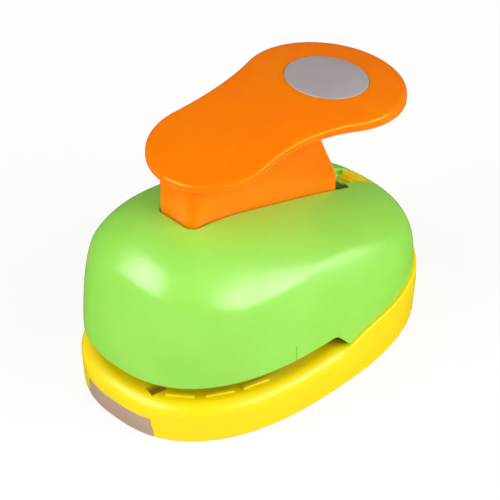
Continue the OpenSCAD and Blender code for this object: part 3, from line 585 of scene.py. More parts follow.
@dataclass(frozen=True)
class BodyForm:
    """Oval plan and dome of the body."""

    half_len: float = 60.0
    half_wid: float = 39.6
    plan_power: float = 2.43
    seam_z: float = 16.9
    seam_inset: float = 1.05
    seam_low_z: float = 14.5
    seam_rise: float = 14.0
    mouth_end_y: float = 5.8
    ridge_z: float = 56.6
    ridge_fall: float = 0.32
    ridge_bow: float = 0.0026
    crown_power: float = 2.15
    side_power: float = 3.0

    def oval(self, inset: float, degrees: float) -> Plan:
        """Point of the plan at an angle.

        Args:
            inset: How far the plan is drawn in.
            degrees: Angle round the plan.

        Returns:
            The point.
        """
        x, y = math.cos(math.radians(degrees)), math.sin(math.radians(degrees))
        across = (abs(x) / (self.half_wid - inset)) ** self.plan_power
        along = (abs(y) / (self.half_len - inset)) ** self.plan_power
        reach = (across + along) ** (-1 / self.plan_power)
        return reach * x, reach * y

    def along(self, inset: float, x: float) -> float:
        """Half length of the plan at a distance from the plane of symmetry."""
        share = 1 - (abs(x) / (self.half_wid - inset)) ** self.plan_power
        return (self.half_len - inset) * share ** (1 / self.plan_power)

    def across(self, inset: float, y: float) -> float:
        """Half width of the plan at a place along its length."""
        share = 1 - (abs(y) / (self.half_len - inset)) ** self.plan_power
        return (self.half_wid - inset) * share ** (1 / self.plan_power)

    def angle_at(self, inset: float, y: float) -> float:
        """Angle in degrees at which the plan's right side has a place along its length."""
        return math.degrees(math.atan2(y, self.across(inset, y)))

    def seam_at(self, y: float) -> float:
        """Height of the seam, which dips behind the mouth and climbs towards the back."""
        climb = max(0.0, min(1.0, (y - self.mouth_end_y) / self.seam_rise))
        return self.seam_z - (self.seam_z - self.seam_low_z) * (1 - climb) ** 2

    def ridge(self, y: float) -> float:
        """Height of the ridge line."""
        return self.ridge_z - self.ridge_fall * y + self.ridge_bow * y * y

    def dome(self, degrees: float, share: float, lift: float = 0.0, inset: float = 0.0) -> Point:
        """Point of the dome at an angle and a share of its height.

        Args:
            degrees: Angle round the plan.
            share: Share of the dome's height, below zero on the upright skirt.
            lift: Rise of the whole dome, in millimetres.
            inset: Distance from the outside, in millimetres.

        Returns:
            The point, in millimetres.
        """
        x, y = self.oval(self.seam_inset + inset, degrees)
        reach = max(0.0, 1 - max(0.0, share) ** self.side_power) ** (1 / self.crown_power)
        height = self.ridge(y * reach) - inset - self.seam_z
        return x * reach, y * reach, self.seam_z + height * share + lift

    def dome_z(self, x: float, y: float) -> float:
        """Height of the dome over a point of the plan.

        Args:
            x: Distance from the plane of symmetry.
            y: Place along the body.

        Returns:
            The height.
        """
        out = ((abs(y) / (self.half_len - self.seam_inset)) ** self.plan_power
               + (abs(x) / (self.half_wid - self.seam_inset)) ** self.plan_power)
        share = max(0.0, 1 - out ** (self.crown_power / self.plan_power)) ** (1 / self.side_power)
        return self.seam_z + (self.ridge(y) - self.seam_z) * share

    def dome_solid(self, columns: int, rows: int, lift: float = 0.0, inset: float = 0.0) -> Solid:
        """Closed dome from the seam up, as a tool.

        Args:
            columns: Faces round it.
            rows: Faces up it.
            lift: Rise of the whole dome, in millimetres.
            inset: Distance from the outside, in millimetres.

        Returns:
            The dome.
        """
        return Bench.close(Bench.sheet("dome", columns, rows, lambda column, row: self.dome(
            column * (360 / columns), math.sin(row / (2 * rows) * math.pi), lift, inset)))


@dataclass(frozen=True)
class CuttingPlan:
    """Plan of the die and guide plates round the punched circle."""

    cut_d: float = 44.0
    cut_y: float = -17.5
    half: float = 31.0
    front: float = 27.0
    back: float = 33.0
    front_r: float = 26.0
    back_r: float = 12.0
    die_inset: float = 2.4

    def outline(self, grow: float) -> list[Plan]:
        """Outline of the plates, grown or drawn in."""
        radii = (self.back_r, self.front_r)
        return rounded(self.half, self.cut_y + self.back, self.cut_y - self.front, radii, grow, 12)


@dataclass(frozen=True)
class LeverPlan:
    """Pivot and stem of the lever, which the cover's slot follows."""

    pivot_y: float = -29.0
    pivot_z: float = 53.9484
    stem_half: float = 7.7
    stem_front: float = -33.2
    stem_back: float = 30.8
    corner_r: float = 3.2
    edge_r: float = 1.2
    slot_back: float = 36.7
    run: float = 0.4

    def plan(self, grow: float, back: float) -> list[Plan]:
        """Rounded outline of the stem from above, or of its slot."""
        radii = (self.edge_r + grow, self.corner_r + grow)
        return rounded(self.stem_half + grow, back, self.stem_front - grow, radii, 0.0, 8)


@dataclass(frozen=True)
class LockPlan:
    """Track of the lock slide on the cover's back."""

    y: float = 45.5
    tilt: float = 28.0
    half: float = 4.6
    front: float = 1.6
    back: float = 8.976
    floor: float = -1.4
    play: float = 0.4

    def track(self) -> Matrix:
        """Turn and move from the track's own axes to the part's, in millimetres."""
        turn = Matrix.Rotation(math.radians(-self.tilt), 4, "X")
        return Matrix.Translation((0, self.y, FORM.dome_z(0, self.y))) @ turn


FORM = BodyForm()
CUTTING = CuttingPlan()
LEVER = LeverPlan()
LOCK = LockPlan()
# Turn from a drawing in Y and Z to a solid that is extruded along X
ACROSS = Matrix(((0, 0, 1, 0), (1, 0, 0, 0), (0, 1, 0, 0), (0, 0, 0, 1)))


def upright(x: float, y: float) -> Matrix:
    """Move of an upright tool to a point of the plan."""
    return Matrix.Translation((x, y, 0))


def dress(piece: Solid, finishes: Finishes, slot: str, body: Bodies, *nodes: str) -> None:
    """Give a finished mesh its material and its body, and hide the nodes that it stands for.

    Args:
        piece: Finished mesh.
        finishes: All materials.
        slot: Slot of the finish that it wears.
        body: Body that carries the piece.
        nodes: Solids that the piece replaces.
    """
    Bench.polish(piece)
    finishes.wear(piece, slot)
    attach(piece, body.value)
    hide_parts(*nodes)
    log.info("%s: %d faces on %s", piece.name, len(piece.data.polygons), body.value)


# Sub-assemblies


@dataclass
class Base:
    """Yellow base: round shoulder at the mouth, collar up to the seam behind it, hollow below."""

    wall: float = 2.4
    deck_z: float = 14.5
    deck_t: float = 2.4
    shoulder_r: float = 4.5
    wall_lean: float = 0.6
    foot_edge: float = 0.3
    sole_r: float = 0.5
    ceiling_r: float = 0.8
    collar_edge: float = 0.8
    ledge: float = 0.3
    ledge_lean: float = 0.05
    cover_wall: float = 2.2
    rise_len: float = 5.0
    die_z: float = 10.5
    seat_t: float = 2.4
    chute_gap: float = 2.0
    fit: float = 0.1
    # How far a tool or a boss reaches past the face that it meets
    lap: float = 1.0
    screw_r: float = 1.6
    head_r: float = 2.9
    head_sink: float = 6.0
    boss_r: float = 4.0
    boss_low: float = 0.4
    bosses: tuple[Plan, ...] = ((29.0, 17.5), (19.0, 42.0))
    die_screw: Plan = (20.0, 9.1)
    rail_len: float = 9.0
    rail_wid: float = 1.8
    rail_h: float = 0.6
    rail_r: float = 0.22
    rail_root: float = 0.5
    rail_inset: float = 1.2
    rail_angles: tuple[float, ...] = (-69.5, -56.5, -43.0)
    plate_half: float = 13.7
    plate_taper: float = 1.2
    plate_h: float = 7.4
    plate_t: float = 1.4
    arm_x: float = 11.7
    arm_half: float = 2.0
    arm_z: Plan = (2.7, 4.7)
    arm_way_y: float = -52.0
    # Place, width and length of the window in the deck, and how far its tool goes below and above
    window: Point = (10.3, 4.2, 6.8)
    window_gap: float = 0.8
    window_turn: float = 13.0
    window_cut: Plan = (-5.0, 2.0)
    # Heights of the corners up the wall, and their distances on the deck and up the collar
    wall_steps: tuple[float, ...] = (1.0, 2.5, 5.0, 7.5)
    hollow_step: float = 4.0
    deck_steps: tuple[float, ...] = (0.4, 0.8, 1.2, 1.6)
    shoulder_steps: int = 12
    collar_steps: int = 6
    zone_steps: int = 40

    @property
    def knee_z(self) -> float:
        """Height where the wall turns into the shoulder."""
        return self.deck_z - self.shoulder_r

    def wall_inset(self, z: float) -> float:
        """How far the leaning wall lies inside the widest outline."""
        return max(0.0, self.wall_lean * (1 - z / self.knee_z))

    def foot(self) -> list[Plan]:
        """Section from the hollow's ceiling down inside and up the outside to the knee.

        Returns:
            Inset and height of each corner.
        """
        ceiling, lean, edge = self.deck_z - self.deck_t, self.wall_lean, self.foot_edge
        wall, roof, sole = self.wall, self.ceiling_r, self.sole_r
        inside = [(wall + roof, ceiling), (wall + roof / 4, ceiling - roof / 4), (wall, ceiling - roof),
                  (wall, self.hollow_step), (wall, sole), (wall - sole * 0.4, sole * 0.2), (wall - sole, 0.0)]
        outside = [(lean + edge, 0.0), (lean + edge * 0.3, edge * 0.3), (lean, edge)]
        return inside + outside + [(self.wall_inset(z), z) for z in self.wall_steps]

    def shoulder(self) -> list[Plan]:
        """Section from the foot over the round shoulder to the deck.

        Returns:
            Inset and height of each corner.
        """
        radius, steps = self.shoulder_r, self.shoulder_steps
        turns = [math.radians(i * (90 / steps)) for i in range(steps + 1)]
        bend = [(radius * (1 - math.cos(a)), self.knee_z + radius * math.sin(a)) for a in turns]
        return self.foot() + bend + [(radius + step, self.deck_z) for step in self.deck_steps]

    def collar(self, high: float) -> list[Plan]:
        """Section from the foot up to a collar with a round edge and a ledge.

        Args:
            high: Height of the collar.

        Returns:
            Inset and height of each corner, as many as the shoulder has.
        """
        edge, inner, steps = self.collar_edge, FORM.seam_inset + self.cover_wall, self.collar_steps
        wall = [(0.0, mix(self.knee_z, high - edge, i / steps)) for i in range(steps)]
        turns = [math.radians(i * (90 / steps)) for i in range(steps + 1)]
        bend = [(edge * (1 - math.cos(a)), high - edge + edge * math.sin(a)) for a in turns]
        step = max(self.deck_z, min(self.deck_z + self.ledge, high))
        foot = inner + self.ledge_lean
        ledge = [(edge + self.ledge, high), (inner, high), (foot, step), (foot + self.ledge, self.deck_z)]
        return self.foot() + wall + bend + ledge

    @staticmethod
    def angles() -> list[float]:
        """Angles round the wall, closer together where the collar rises behind the mouth.

        Returns:
            Angles in degrees, from the right side round to it again.
        """
        close, middle = [i * 0.5 for i in range(22)], [11.0 + i for i in range(19)]
        right = close + middle + [30.0 + i * 2.0 for i in range(31)]
        left = [180 - a for a in reversed(right[:-1])]
        return right + left + [182.0 + i * 2.0 for i in range(89)] + [360.0]

    def shell(self) -> Solid:
        """Make wall, shoulder and deck.

        Returns:
            One closed solid.
        """
        front, level, angles = self.shoulder(), self.collar(FORM.seam_z), self.angles()

        def surface(column: int, row: int) -> Point:
            """Corner between the shoulder's section and the collar's.

            Args:
                column: Place round the grid.
                row: Place up the grid.

            Returns:
                The corner, in millimetres.
            """
            share = ease((FORM.oval(0, angles[column])[1] - FORM.mouth_end_y) / self.rise_len + 1)
            x, y = FORM.oval(mix(front[row][0], level[row][0], share), angles[column])
            return x, y, mix(front[row][1], self.collar(FORM.seam_at(y))[row][1], share)
        return Bench.close(Bench.sheet("base_shell_moulding", len(angles) - 1, len(front) - 1, surface))

    def add_inside(self, shell: Solid) -> None:
        """Weld in the seat of the die plate and the screw bosses, and cut their holes.

        Args:
            shell: Base to work on.
        """
        ceiling = self.deck_z - self.lap
        seat = CUTTING.outline(self.wall - CUTTING.die_inset)
        Bench.join(shell, Bench.prism("seat", seat, self.die_z - self.seat_t, ceiling), Join.WELD)
        for side in SIDES:
            for x, y in self.bosses:
                for radius, low, high, how in ((self.boss_r, self.boss_low, ceiling, Join.WELD),
                                               (self.head_r, -self.lap, self.head_sink, Join.CUT),
                                               (self.screw_r, 0, THROUGH, Join.CUT)):
                    Bench.join(shell, Bench.rod("boss", radius, low, high, upright(side * x, y)), how)
            place = upright(side * self.die_screw[0], self.die_screw[1])
            boss = Bench.rod("boss", self.boss_r, self.boss_low, self.die_z - self.lap, place)
            Bench.join(shell, boss, Join.WELD)
        pocket = CUTTING.outline(self.fit - CUTTING.die_inset)
        Bench.join(shell, Bench.prism("pocket", pocket, self.die_z, THROUGH), Join.CUT)
        chute = Bench.rod("chute", CUTTING.cut_d / 2 + self.chute_gap, -self.lap, THROUGH,
                          upright(0, CUTTING.cut_y), 128)
        Bench.join(shell, chute, Join.CUT)

    def plate_zone(self, grow: float) -> Solid:
        """Make the slanted zone of the front plate in the wall.

        Args:
            grow: Clearance all round.

        Returns:
            The zone, as a tool.
        """
        top, depth, high, past = self.plate_half + grow, self.plate_t + grow, self.plate_h + grow, self.lap
        low = top + self.plate_taper
        x = [mix(-low, low, i / self.zone_steps) for i in range(self.zone_steps + 1)]
        outside = [(v, -FORM.half_len - past) for v in x]
        inside = [(v, -FORM.along(depth, v)) for v in reversed(x)]
        zone = Bench.prism("zone", outside + inside, -past, high + past)
        face = [(-low, -past), (low, -past), (low, 0), (top, high), (-top, high), (-low, 0)]
        slab = Bench.prism("slab", face, THROUGH, BEYOND, Matrix.Rotation(math.pi / 2, 4, "X"))
        Bench.join(zone, slab, Join.KEEP)
        return zone

    def add_front(self, shell: Solid) -> None:
        """Cut the pocket of the front plate, the ways of its arms and the window in the deck.

        Args:
            shell: Base to work on.
        """
        Bench.join(shell, self.plate_zone(self.fit), Join.CUT)
        reach, (low, high) = self.arm_half + self.fit, self.arm_z
        for side in SIDES:
            way = Bench.block("way", (side * self.arm_x - reach, -FORM.half_len, low - self.fit),
                              (side * self.arm_x + reach, self.arm_way_y, high + self.fit))
            Bench.join(shell, way, Join.CUT)
        middle, wide, long = self.window
        place = (upright(middle, -FORM.half_len + self.shoulder_r + self.window_gap)
                 @ Matrix.Rotation(math.radians(-self.window_turn), 4, "Z"))
        low, high = self.window_cut
        window = Bench.block("window", (-wide / 2, 0, self.deck_z + low),
                             (wide / 2, long, self.deck_z + high), place)
        Bench.join(shell, window, Join.CUT)

    def add_rails(self, shell: Solid) -> None:
        """Weld on the low bars along the mouth that the sheet slides over.

        Args:
            shell: Base to work on.
        """
        inset, top = self.shoulder_r + self.rail_inset, self.deck_z + self.rail_h
        half = (self.rail_len / 2, self.rail_wid / 2)
        for angle in self.rail_angles:
            x, y = FORM.oval(inset, angle)
            after = FORM.oval(inset, angle + 1)
            turn = math.atan2(after[1] - y, after[0] - x)
            for side in reversed(SIDES):
                place = (Matrix.Translation((side * x, y, self.deck_z))
                         @ Matrix.Rotation(side * turn, 4, "Z"))
                rail = Bench.block("rail", (-half[0], -half[1], -self.rail_root), (*half, self.rail_h), place)
                Bench.round_edges(rail, self.rail_r, lambda m, rise, bend: m.z > top - 0.01 or rise > 0.9)
                Bench.join(shell, rail, Join.WELD)

    def build(self, finishes: Finishes) -> None:
        """Build and dress the base.

        Args:
            finishes: All materials.
        """
        shell = self.shell()
        self.add_inside(shell)
        self.add_front(shell)
        self.add_rails(shell)
        dress(shell, finishes, "yellow_abs", Bodies.BODY, "base_shell")


@dataclass
class FrontPlate:
    """Grey plate let into the base's wall, with two snap arms behind it."""

    edge_r: float = 0.3
    edge_bend: float = 60.0
    hook: float = 1.2
    hook_len: float = 2.0
    root: float = 0.7
    columns: int = 48
    rows: int = 14

    def face(self, base: Base) -> Solid:
        """Make the curved plate with slanted ends, flush with the base's wall.

        Args:
            base: Base that the plate is let into.

        Returns:
            The plate.
        """
        def surface(column: int, row: int) -> Point:
            """Corner on the outside of the wall.

            Args:
                column: Place round the grid.
                row: Place up the grid.

            Returns:
                The corner, in millimetres.
            """
            z = base.plate_h * row / self.rows
            half = base.plate_half + base.plate_taper * (1 - z / base.plate_h)
            x = mix(-half, half, column / self.columns)
            return x, -FORM.along(base.wall_inset(z), x), z
        plate = Bench.sheet("front_plate_insert", self.columns, self.rows, surface)
        Bench.modify(plate, "SOLIDIFY", thickness=base.plate_t * MM, offset=-1.0, use_even_offset=True)
        Bench.round_edges(plate, self.edge_r, lambda middle, rise, bend: bend > self.edge_bend)
        return plate

    def build(self, finishes: Finishes) -> None:
        """Build and dress the plate.

        Args:
            finishes: All materials.
        """
        base = Base()
        plate = self.face(base)
        half, (low, high) = base.arm_half, base.arm_z
        behind = -FORM.along(base.wall, base.arm_x + half) + 2 * base.fit
        end = behind + self.hook_len
        root = [FORM.oval(base.plate_t * self.root, 2.0 * i) for i in range(180)]
        for side in SIDES:
            x = side * base.arm_x
            arm = Bench.block("arm", (x - half, -FORM.half_len, low), (x + half, end, high))
            hook = Bench.block("hook", (x - half, behind, low), (x + half, end, high + self.hook))
            Bench.join(arm, hook, Join.WELD)
            Bench.join(arm, Bench.prism("root", root, -base.lap, THROUGH), Join.KEEP)
            Bench.join(plate, arm, Join.WELD)
        dress(plate, finishes, "grey_insert", Bodies.BODY, "front_plate")


@dataclass
class Cover:
    """Green domed cover with the lever's slot, the paper mouth, centre marks and the lock's track."""

    wall: float = 2.2
    fit: float = 0.1
    lip_z: float = 21.1
    end_slope: float = 48.0
    end_r: float = 4.5
    lip_r: float = 0.45
    lip_bend: float = 55.0
    mark_h: float = 6.0
    mark_wid: float = 0.9
    mark_depth: float = 0.7
    mark_lap: float = 0.4
    mark_drop: float = 2.0
    rows: int = 72
    # Place and thickness of the pivot's cheeks
    cheek: Plan = (8.3, 3.0)
    cheek_half: float = 6.0
    cheek_drop: float = 4.2
    floor_t: float = 2.2
    floor_lap: float = 3.0
    # Half width, front and back of the lock's floor
    keeper: Point = (7.0, 11.0, 9.0)
    track_front: float = -13.2
    post_half: float = 2.6
    travel: float = 4.0
    thread_r: float = 1.5
    thread_bite: float = 9.0
    pivot_r: float = 2.0
    above: float = 70.0
    crease_h: float = 1.0
    crease_reach: float = 18.0
    crease_r: float = 0.7
    # Angle from which the crease fades and over how many degrees
    crease_fade: Plan = (46.0, 30.0)
    # Angle round the plan and share of the dome's height
    crease_line: tuple[Plan, ...] = (
        (-90.0, 0.570), (-75.0, 0.553), (-60.0, 0.543), (-48.0, 0.560), (-35.0, 0.612), (-22.0, 0.665),
        (-8.0, 0.708), (6.0, 0.729), (20.0, 0.737), (34.0, 0.708), (46.0, 0.635), (60.0, 0.55), (90.0, 0.5))

    def mouth_end(self) -> Plan:
        """Find the mouth's end.

        Returns:
            Places along the body where the lip starts to bend and where the straight slope starts.
        """
        slope = math.radians(self.end_slope)
        rise = self.lip_z - FORM.seam_low_z - self.fit
        start = FORM.mouth_end_y - rise / math.tan(slope) - self.end_r * math.tan(slope / 2)
        return start, start + self.end_r * math.sin(slope)

    def low_edge(self, y: float) -> float:
        """Follow the cover's lower edge along lip, bend, slope and seam.

        Args:
            y: Place along the body.

        Returns:
            Height of the edge.
        """
        start, straight = self.mouth_end()
        if y >= FORM.mouth_end_y:
            return FORM.seam_at(y) + self.fit
        if y >= straight:
            rise = (FORM.mouth_end_y - y) * math.tan(math.radians(self.end_slope))
            return FORM.seam_low_z + self.fit + rise
        if y > start:
            return self.lip_z - self.end_r + math.sqrt(self.end_r ** 2 - (y - start) ** 2)
        return self.lip_z

    def angles(self) -> list[float]:
        """Angles round the dome, closer together along the mouth's end and the seam's climb.

        Returns:
            Angles in degrees, from the front round to it again.
        """
        start, straight = self.mouth_end()
        end, climb = FORM.mouth_end_y, FORM.seam_rise
        bend = [mix(start, straight, i / 8) for i in range(8)]
        slope = [mix(straight, end, i / 4) for i in range(4)]
        stations = bend + slope + [end + climb * i / 12 for i in range(13)]
        close = [FORM.angle_at(FORM.seam_inset, y) for y in stations]
        before = [float(a) for a in range(-90, 0, 2) if a < close[0] - 1]
        right = before + close + [float(a) for a in range(0, 91, 2) if a > close[-1] + 1]
        return right + [180 - a for a in reversed(right[:-1])]

    def shell(self) -> Solid:
        """Make the dome with its crease, its wall and a rounded lower edge.

        Returns:
            The dome.
        """
        angles = self.angles()

        def surface(column: int, row: int) -> Point:
            """Corner between the lower edge and the ridge.

            Args:
                column: Place round the grid.
                row: Place up the grid.

            Returns:
                The corner, in millimetres.
            """
            y = FORM.oval(FORM.seam_inset, angles[column])[1]
            share = (self.low_edge(y) - FORM.seam_z) / (FORM.ridge(y) - FORM.seam_z)
            turn = mix(math.asin(share), math.pi / 2, row / self.rows)
            return FORM.dome(angles[column], math.sin(turn))
        shell = Bench.sheet("cover_shell_moulding", len(angles) - 1, self.rows, surface)
        self.raise_crease(shell)
        Bench.modify(shell, "SOLIDIFY", thickness=self.wall * MM, offset=-1.0, use_even_offset=True)
        Bench.modify(shell, "BEVEL", width=self.lip_r * MM, segments=3, limit_method="ANGLE",
                     angle_limit=math.radians(self.lip_bend))
        return shell

    def raise_crease(self, shell: Solid) -> None:
        """Draw a soft crease round the dome, where the steep sides turn into the roof.

        Args:
            shell: Skin of the dome.
        """
        moves = []
        start, length = self.crease_fade
        for vertex in shell.data.vertices:
            x, y, z = vertex.co / MM
            degrees = math.degrees(math.atan2(y, abs(x)))
            fade = 1 - ease((degrees - start) / length)
            crease = Vector(FORM.dome(degrees, curve(self.crease_line, degrees)))
            crease.x = math.copysign(crease.x, x)
            away = (Vector((x, y, z)) - crease).length
            near = min(1.0, (math.hypot(away, self.crease_r) - self.crease_r) / self.crease_reach)
            moves.append(vertex.normal * (self.crease_h * fade * (1 - near) ** 2 * MM))
        for vertex, move in zip(shell.data.vertices, moves):
            vertex.co += move

    def add_inside(self, shell: Solid) -> None:
        """Trim the pivot's cheeks, the screw bosses and the lock's floor to the dome and weld them in.

        Args:
            shell: Cover to work on.
        """
        base, (near, thick), half = Base(), self.cheek, self.cheek_half
        pivot = ACROSS @ Matrix.Translation((LEVER.pivot_y, LEVER.pivot_z, 0))
        low, (wide, front, back) = LEVER.pivot_z - self.cheek_drop, self.keeper
        inside = Bench.block("inside", (-wide, -front, LOCK.floor - self.floor_t),
                             (wide, back, LOCK.floor + self.floor_lap), LOCK.track())
        for side in SIDES:
            edges = sorted((side * near, side * (near + thick)))
            cheek = Bench.block("cheek", (edges[0], LEVER.pivot_y - half, low),
                                (edges[1], LEVER.pivot_y + half, self.above))
            toe = Bench.rod("toe", half, *edges, ACROSS @ Matrix.Translation((LEVER.pivot_y, low, 0)))
            Bench.join(cheek, toe, Join.WELD)
            Bench.join(inside, cheek, Join.WELD)
            for x, y in base.bosses:
                boss = Bench.rod("boss", base.boss_r, FORM.seam_z, self.above, upright(side * x, y))
                Bench.join(inside, boss, Join.WELD)
        Bench.join(inside, FORM.dome_solid(120, 30, inset=self.wall / 2), Join.KEEP)
        for side in SIDES:
            for x, y in base.bosses:
                high = FORM.seam_z + self.thread_bite
                hole = Bench.rod("hole", self.thread_r, 0, high, upright(side * x, y))
                Bench.join(inside, hole, Join.CUT)
        Bench.join(inside, Bench.rod("bore", self.pivot_r, -THROUGH, THROUGH, pivot), Join.CUT)
        Bench.join(shell, inside, Join.WELD)

    def cut(self, shell: Solid) -> None:
        """Cut the lever's slot, the lock's track and the two centre marks.

        Args:
            shell: Cover to work on.
        """
        slot = Bench.prism("slot", LEVER.plan(LEVER.run, LEVER.slot_back), THROUGH, BEYOND)
        Bench.join(shell, slot, Join.CUT)
        wide, post = LOCK.half + LOCK.play, self.post_half
        track = Bench.block("track", (-wide, self.track_front, LOCK.floor),
                            (wide, LOCK.back + LOCK.play, THROUGH), LOCK.track())
        Bench.join(shell, track, Join.CUT)
        way = Bench.block("way", (-post, -post - self.travel, -THROUGH), (post, post, 0), LOCK.track())
        Bench.join(shell, way, Join.CUT)
        out, half = FORM.across(FORM.seam_inset, CUTTING.cut_y), self.mark_wid / 2
        groove = [(-half, self.mark_lap), (0, -self.mark_depth), (half, self.mark_lap)]
        for side in SIDES:
            corners = [(side * (out + depth), CUTTING.cut_y + along) for along, depth in groove]
            mark = Bench.prism("mark", corners, self.lip_z - self.mark_drop, self.lip_z + self.mark_h)
            Bench.join(shell, mark, Join.CUT)

    def build(self, finishes: Finishes) -> None:
        """Build and dress the cover.

        Args:
            finishes: All materials.
        """
        shell = self.shell()
        self.add_inside(shell)
        self.cut(shell)
        dress(shell, finishes, "green_abs", Bodies.BODY, "cover_shell")


@dataclass
class Handle:
    """Orange lever: waisted paddle on a hollow box stem, with the strap that the lock holds."""

    top_z: float = 86.68
    edge_t: float = 4.2
    skin: float = 2.4
    rim: float = 2.4
    rim_r: float = 0.3
    edge_r: float = 1.6
    crown_r: float = 212.0
    crown_y: float = 4.3
    # Middle and radius of the two lobes
    back: Plan = (32.1, 26.0)
    front: Plan = (-16.8, 20.3)
    waist_r: float = 70.0
    stem_wall: float = 2.2
    stem_low_z: float = 43.0866
    # Height and place of the stem's back edge, which leans in towards the paddle
    stem_back_line: tuple[Plan, ...] = (
        (43.0, 30.8), (46.0, 30.8), (49.5, 30.5), (52.5, 29.8), (56.6, 28.5), (61.1, 26.5), (64.9, 24.9),
        (68.6, 23.4), (72.0, 22.1), (76.0, 20.8), (84.0, 18.6))
    # Share of the full thickness at the front lobe and at the back one
    thin: Plan = (0.64, 0.88)
    ribs: tuple[float, ...] = (40.1, 48.1)
    rib_t: float = 1.6
    rib_lap: float = 1.0
    rib_gap: float = 0.4
    hub_r: float = 4.2
    nose: Plan = (-17.7726, 56.4374)
    nose_r: float = 5.0
    relief: tuple[Plan, Plan] = ((-4.3855, 50.2549), (-9.3855, 55.2549))
    pivot_r: float = 2.05
    strap_r: float = 64.8
    strap_t: float = 2.6
    strap_half: float = 4.0
    eye_angle: float = 13.2857
    eye_h: float = 4.6
    eye_half: float = 2.6
    eye_reach: float = 4.0
    badge_y: float = 33.2
    badge_r: float = 13.4
    badge_t: float = 1.2
    badge_edge: float = 0.35
    badge_fit: float = 0.1
    pocket_h: float = 8.0
    round_sides: int = 128
    above: float = 120.0
    # Steps along the waist, the front lobe and the back lobe
    outline_steps: tuple[int, int, int] = (26, 64, 84)
    # Sizes of the rings across the paddle's underside and its top
    under_rings: tuple[float, ...] = (0.0, 0.25, 0.5, 0.75, 1.0)
    top_rings: tuple[float, ...] = (0.97, 0.9, 0.8, 0.65, 0.5, 0.35, 0.2, 0.1, 0.0)
    stem_steps: tuple[int, int] = (12, 24)
    strap_steps: int = 16

    def crown(self, x: float, y: float) -> float:
        """Height of the paddle's top over a point of the plan."""
        return self.top_z - (x * x + (y - self.crown_y) ** 2) / (2 * self.crown_r)

    def thinness(self, y: float) -> float:
        """Share of the full thickness that the paddle has at a place along it."""
        return mix(*self.thin, ease((y - self.front[0]) / (self.back[0] - self.front[0])))

    def outline(self, inset: float) -> list[Plan]:
        """Draw two lobes with a waist arc on each side.

        Args:
            inset: How far the outline is drawn in.

        Returns:
            Points in order.
        """
        (by, br), (fy, fr), wr = self.back, self.front, self.waist_r
        waist_y = (by * by - fy * fy - (br - fr) * (br + fr + 2 * wr)) / (2 * (by - fy))
        waist_x = math.sqrt((fr + wr) ** 2 - (waist_y - fy) ** 2)
        back_turn = math.degrees(math.atan2(waist_y - by, waist_x))
        front_turn = math.degrees(math.atan2(waist_y - fy, waist_x))
        waist, lobe, tail = self.outline_steps
        right = arc((waist_x, waist_y), wr + inset, 180 + back_turn, 180 + front_turn, waist)[1:-1]
        front = arc((0, fy), fr - inset, front_turn, -180 - front_turn, lobe)
        left = [(-x, y) for x, y in reversed(right)]
        back = arc((0, by), br - inset, 180 - back_turn, back_turn, tail)
        return right + front + left + back

    def paddle(self) -> Solid:
        """Make the paddle with a round upper edge and a hollow underside.

        Returns:
            The paddle.
        """
        r, t, rim, skin = self.edge_r, self.edge_t, self.rim, self.skin
        # Inset, drop below the crown and size of each ring, from the underside's middle to the top's
        stations = [(rim + 0.4, skin, size) for size in self.under_rings]
        wall = [(rim + 0.1, skin + 0.3), (rim, skin + 0.8), (rim, t - self.rim_r), (rim - self.rim_r, t),
                (0.8, t), (0.4, t - 0.1), (0.12, t - 0.4), (0.0, t - 0.9)]
        turns = [math.radians(a) for a in range(0, 91, 10)]
        wall += [(r * (1 - math.cos(a)), r * (1 - math.sin(a))) for a in turns]
        stations += [(inset, drop, 1.0) for inset, drop in wall]
        stations += [(r, 0.0, size) for size in self.top_rings]
        rings = [[(x * size, mix(self.crown_y, y, size), drop) for x, y in self.outline(inset)]
                 for inset, drop, size in stations]
        count = len(rings[0])

        def surface(column: int, row: int) -> Point:
            """Corner of a ring, below the crown."""
            x, y, drop = rings[row][column % count]
            return x, y, self.crown(x, y) - drop * self.thinness(y)
        return Bench.sheet("lever_handle_moulding", count, len(stations) - 1, surface)

    def side_view(self, inset: float) -> list[Plan]:
        """Draw the stem from the side: front, top under the paddle's skin, leaning back and relief.

        Args:
            inset: How far the front, top and back are drawn in.

        Returns:
            Points in Y and Z, in order.
        """
        def roof(y: float) -> float:
            """Height of the stem's top inside the paddle's skin."""
            return self.crown(0, y) - self.skin / 2 - inset
        front, end, (across, down) = LEVER.stem_front + inset, self.stem_back_line[-1][1], self.stem_steps
        top = [mix(front, end - inset, k / across) for k in range(across + 1)]
        heights = [mix(roof(end), self.stem_low_z, k / down) for k in range(1, down + 1)]
        return ([(front, LEVER.pivot_z)] + [(y, roof(y)) for y in top]
                + [(curve(self.stem_back_line, z) - inset, z) for z in heights]
                + [*self.relief, self.nose, (LEVER.pivot_y, LEVER.pivot_z)])

    def stem(self) -> Solid:
        """Make the hollow box stem with hub and nose, rounded where its sides meet the front.

        Returns:
            The stem.
        """
        half, wall = LEVER.stem_half, self.stem_wall
        stem = Bench.prism("stem", self.side_view(0.0), -half, half, ACROSS)
        for (y, z), radius in (((LEVER.pivot_y, LEVER.pivot_z), self.hub_r), (self.nose, self.nose_r)):
            drum = Bench.rod("drum", radius, -half, half, ACROSS @ Matrix.Translation((y, z, 0)))
            Bench.join(stem, drum, Join.WELD)
        plan = Bench.prism("plan", LEVER.plan(0, LEVER.stem_back), THROUGH, self.above)
        Bench.join(stem, plan, Join.KEEP)
        front = self.nose[0] + self.nose_r + wall
        # The hollow has the view's top and back, and is open below
        upper = [(max(y, front), z) for y, z in self.side_view(wall)][1:-5]
        low = [(LEVER.stem_back - wall, THROUGH), (front, THROUGH)]
        hollow = Bench.prism("hollow", upper + low, wall - half, half - wall, ACROSS)
        Bench.join(stem, hollow, Join.CUT)
        return stem

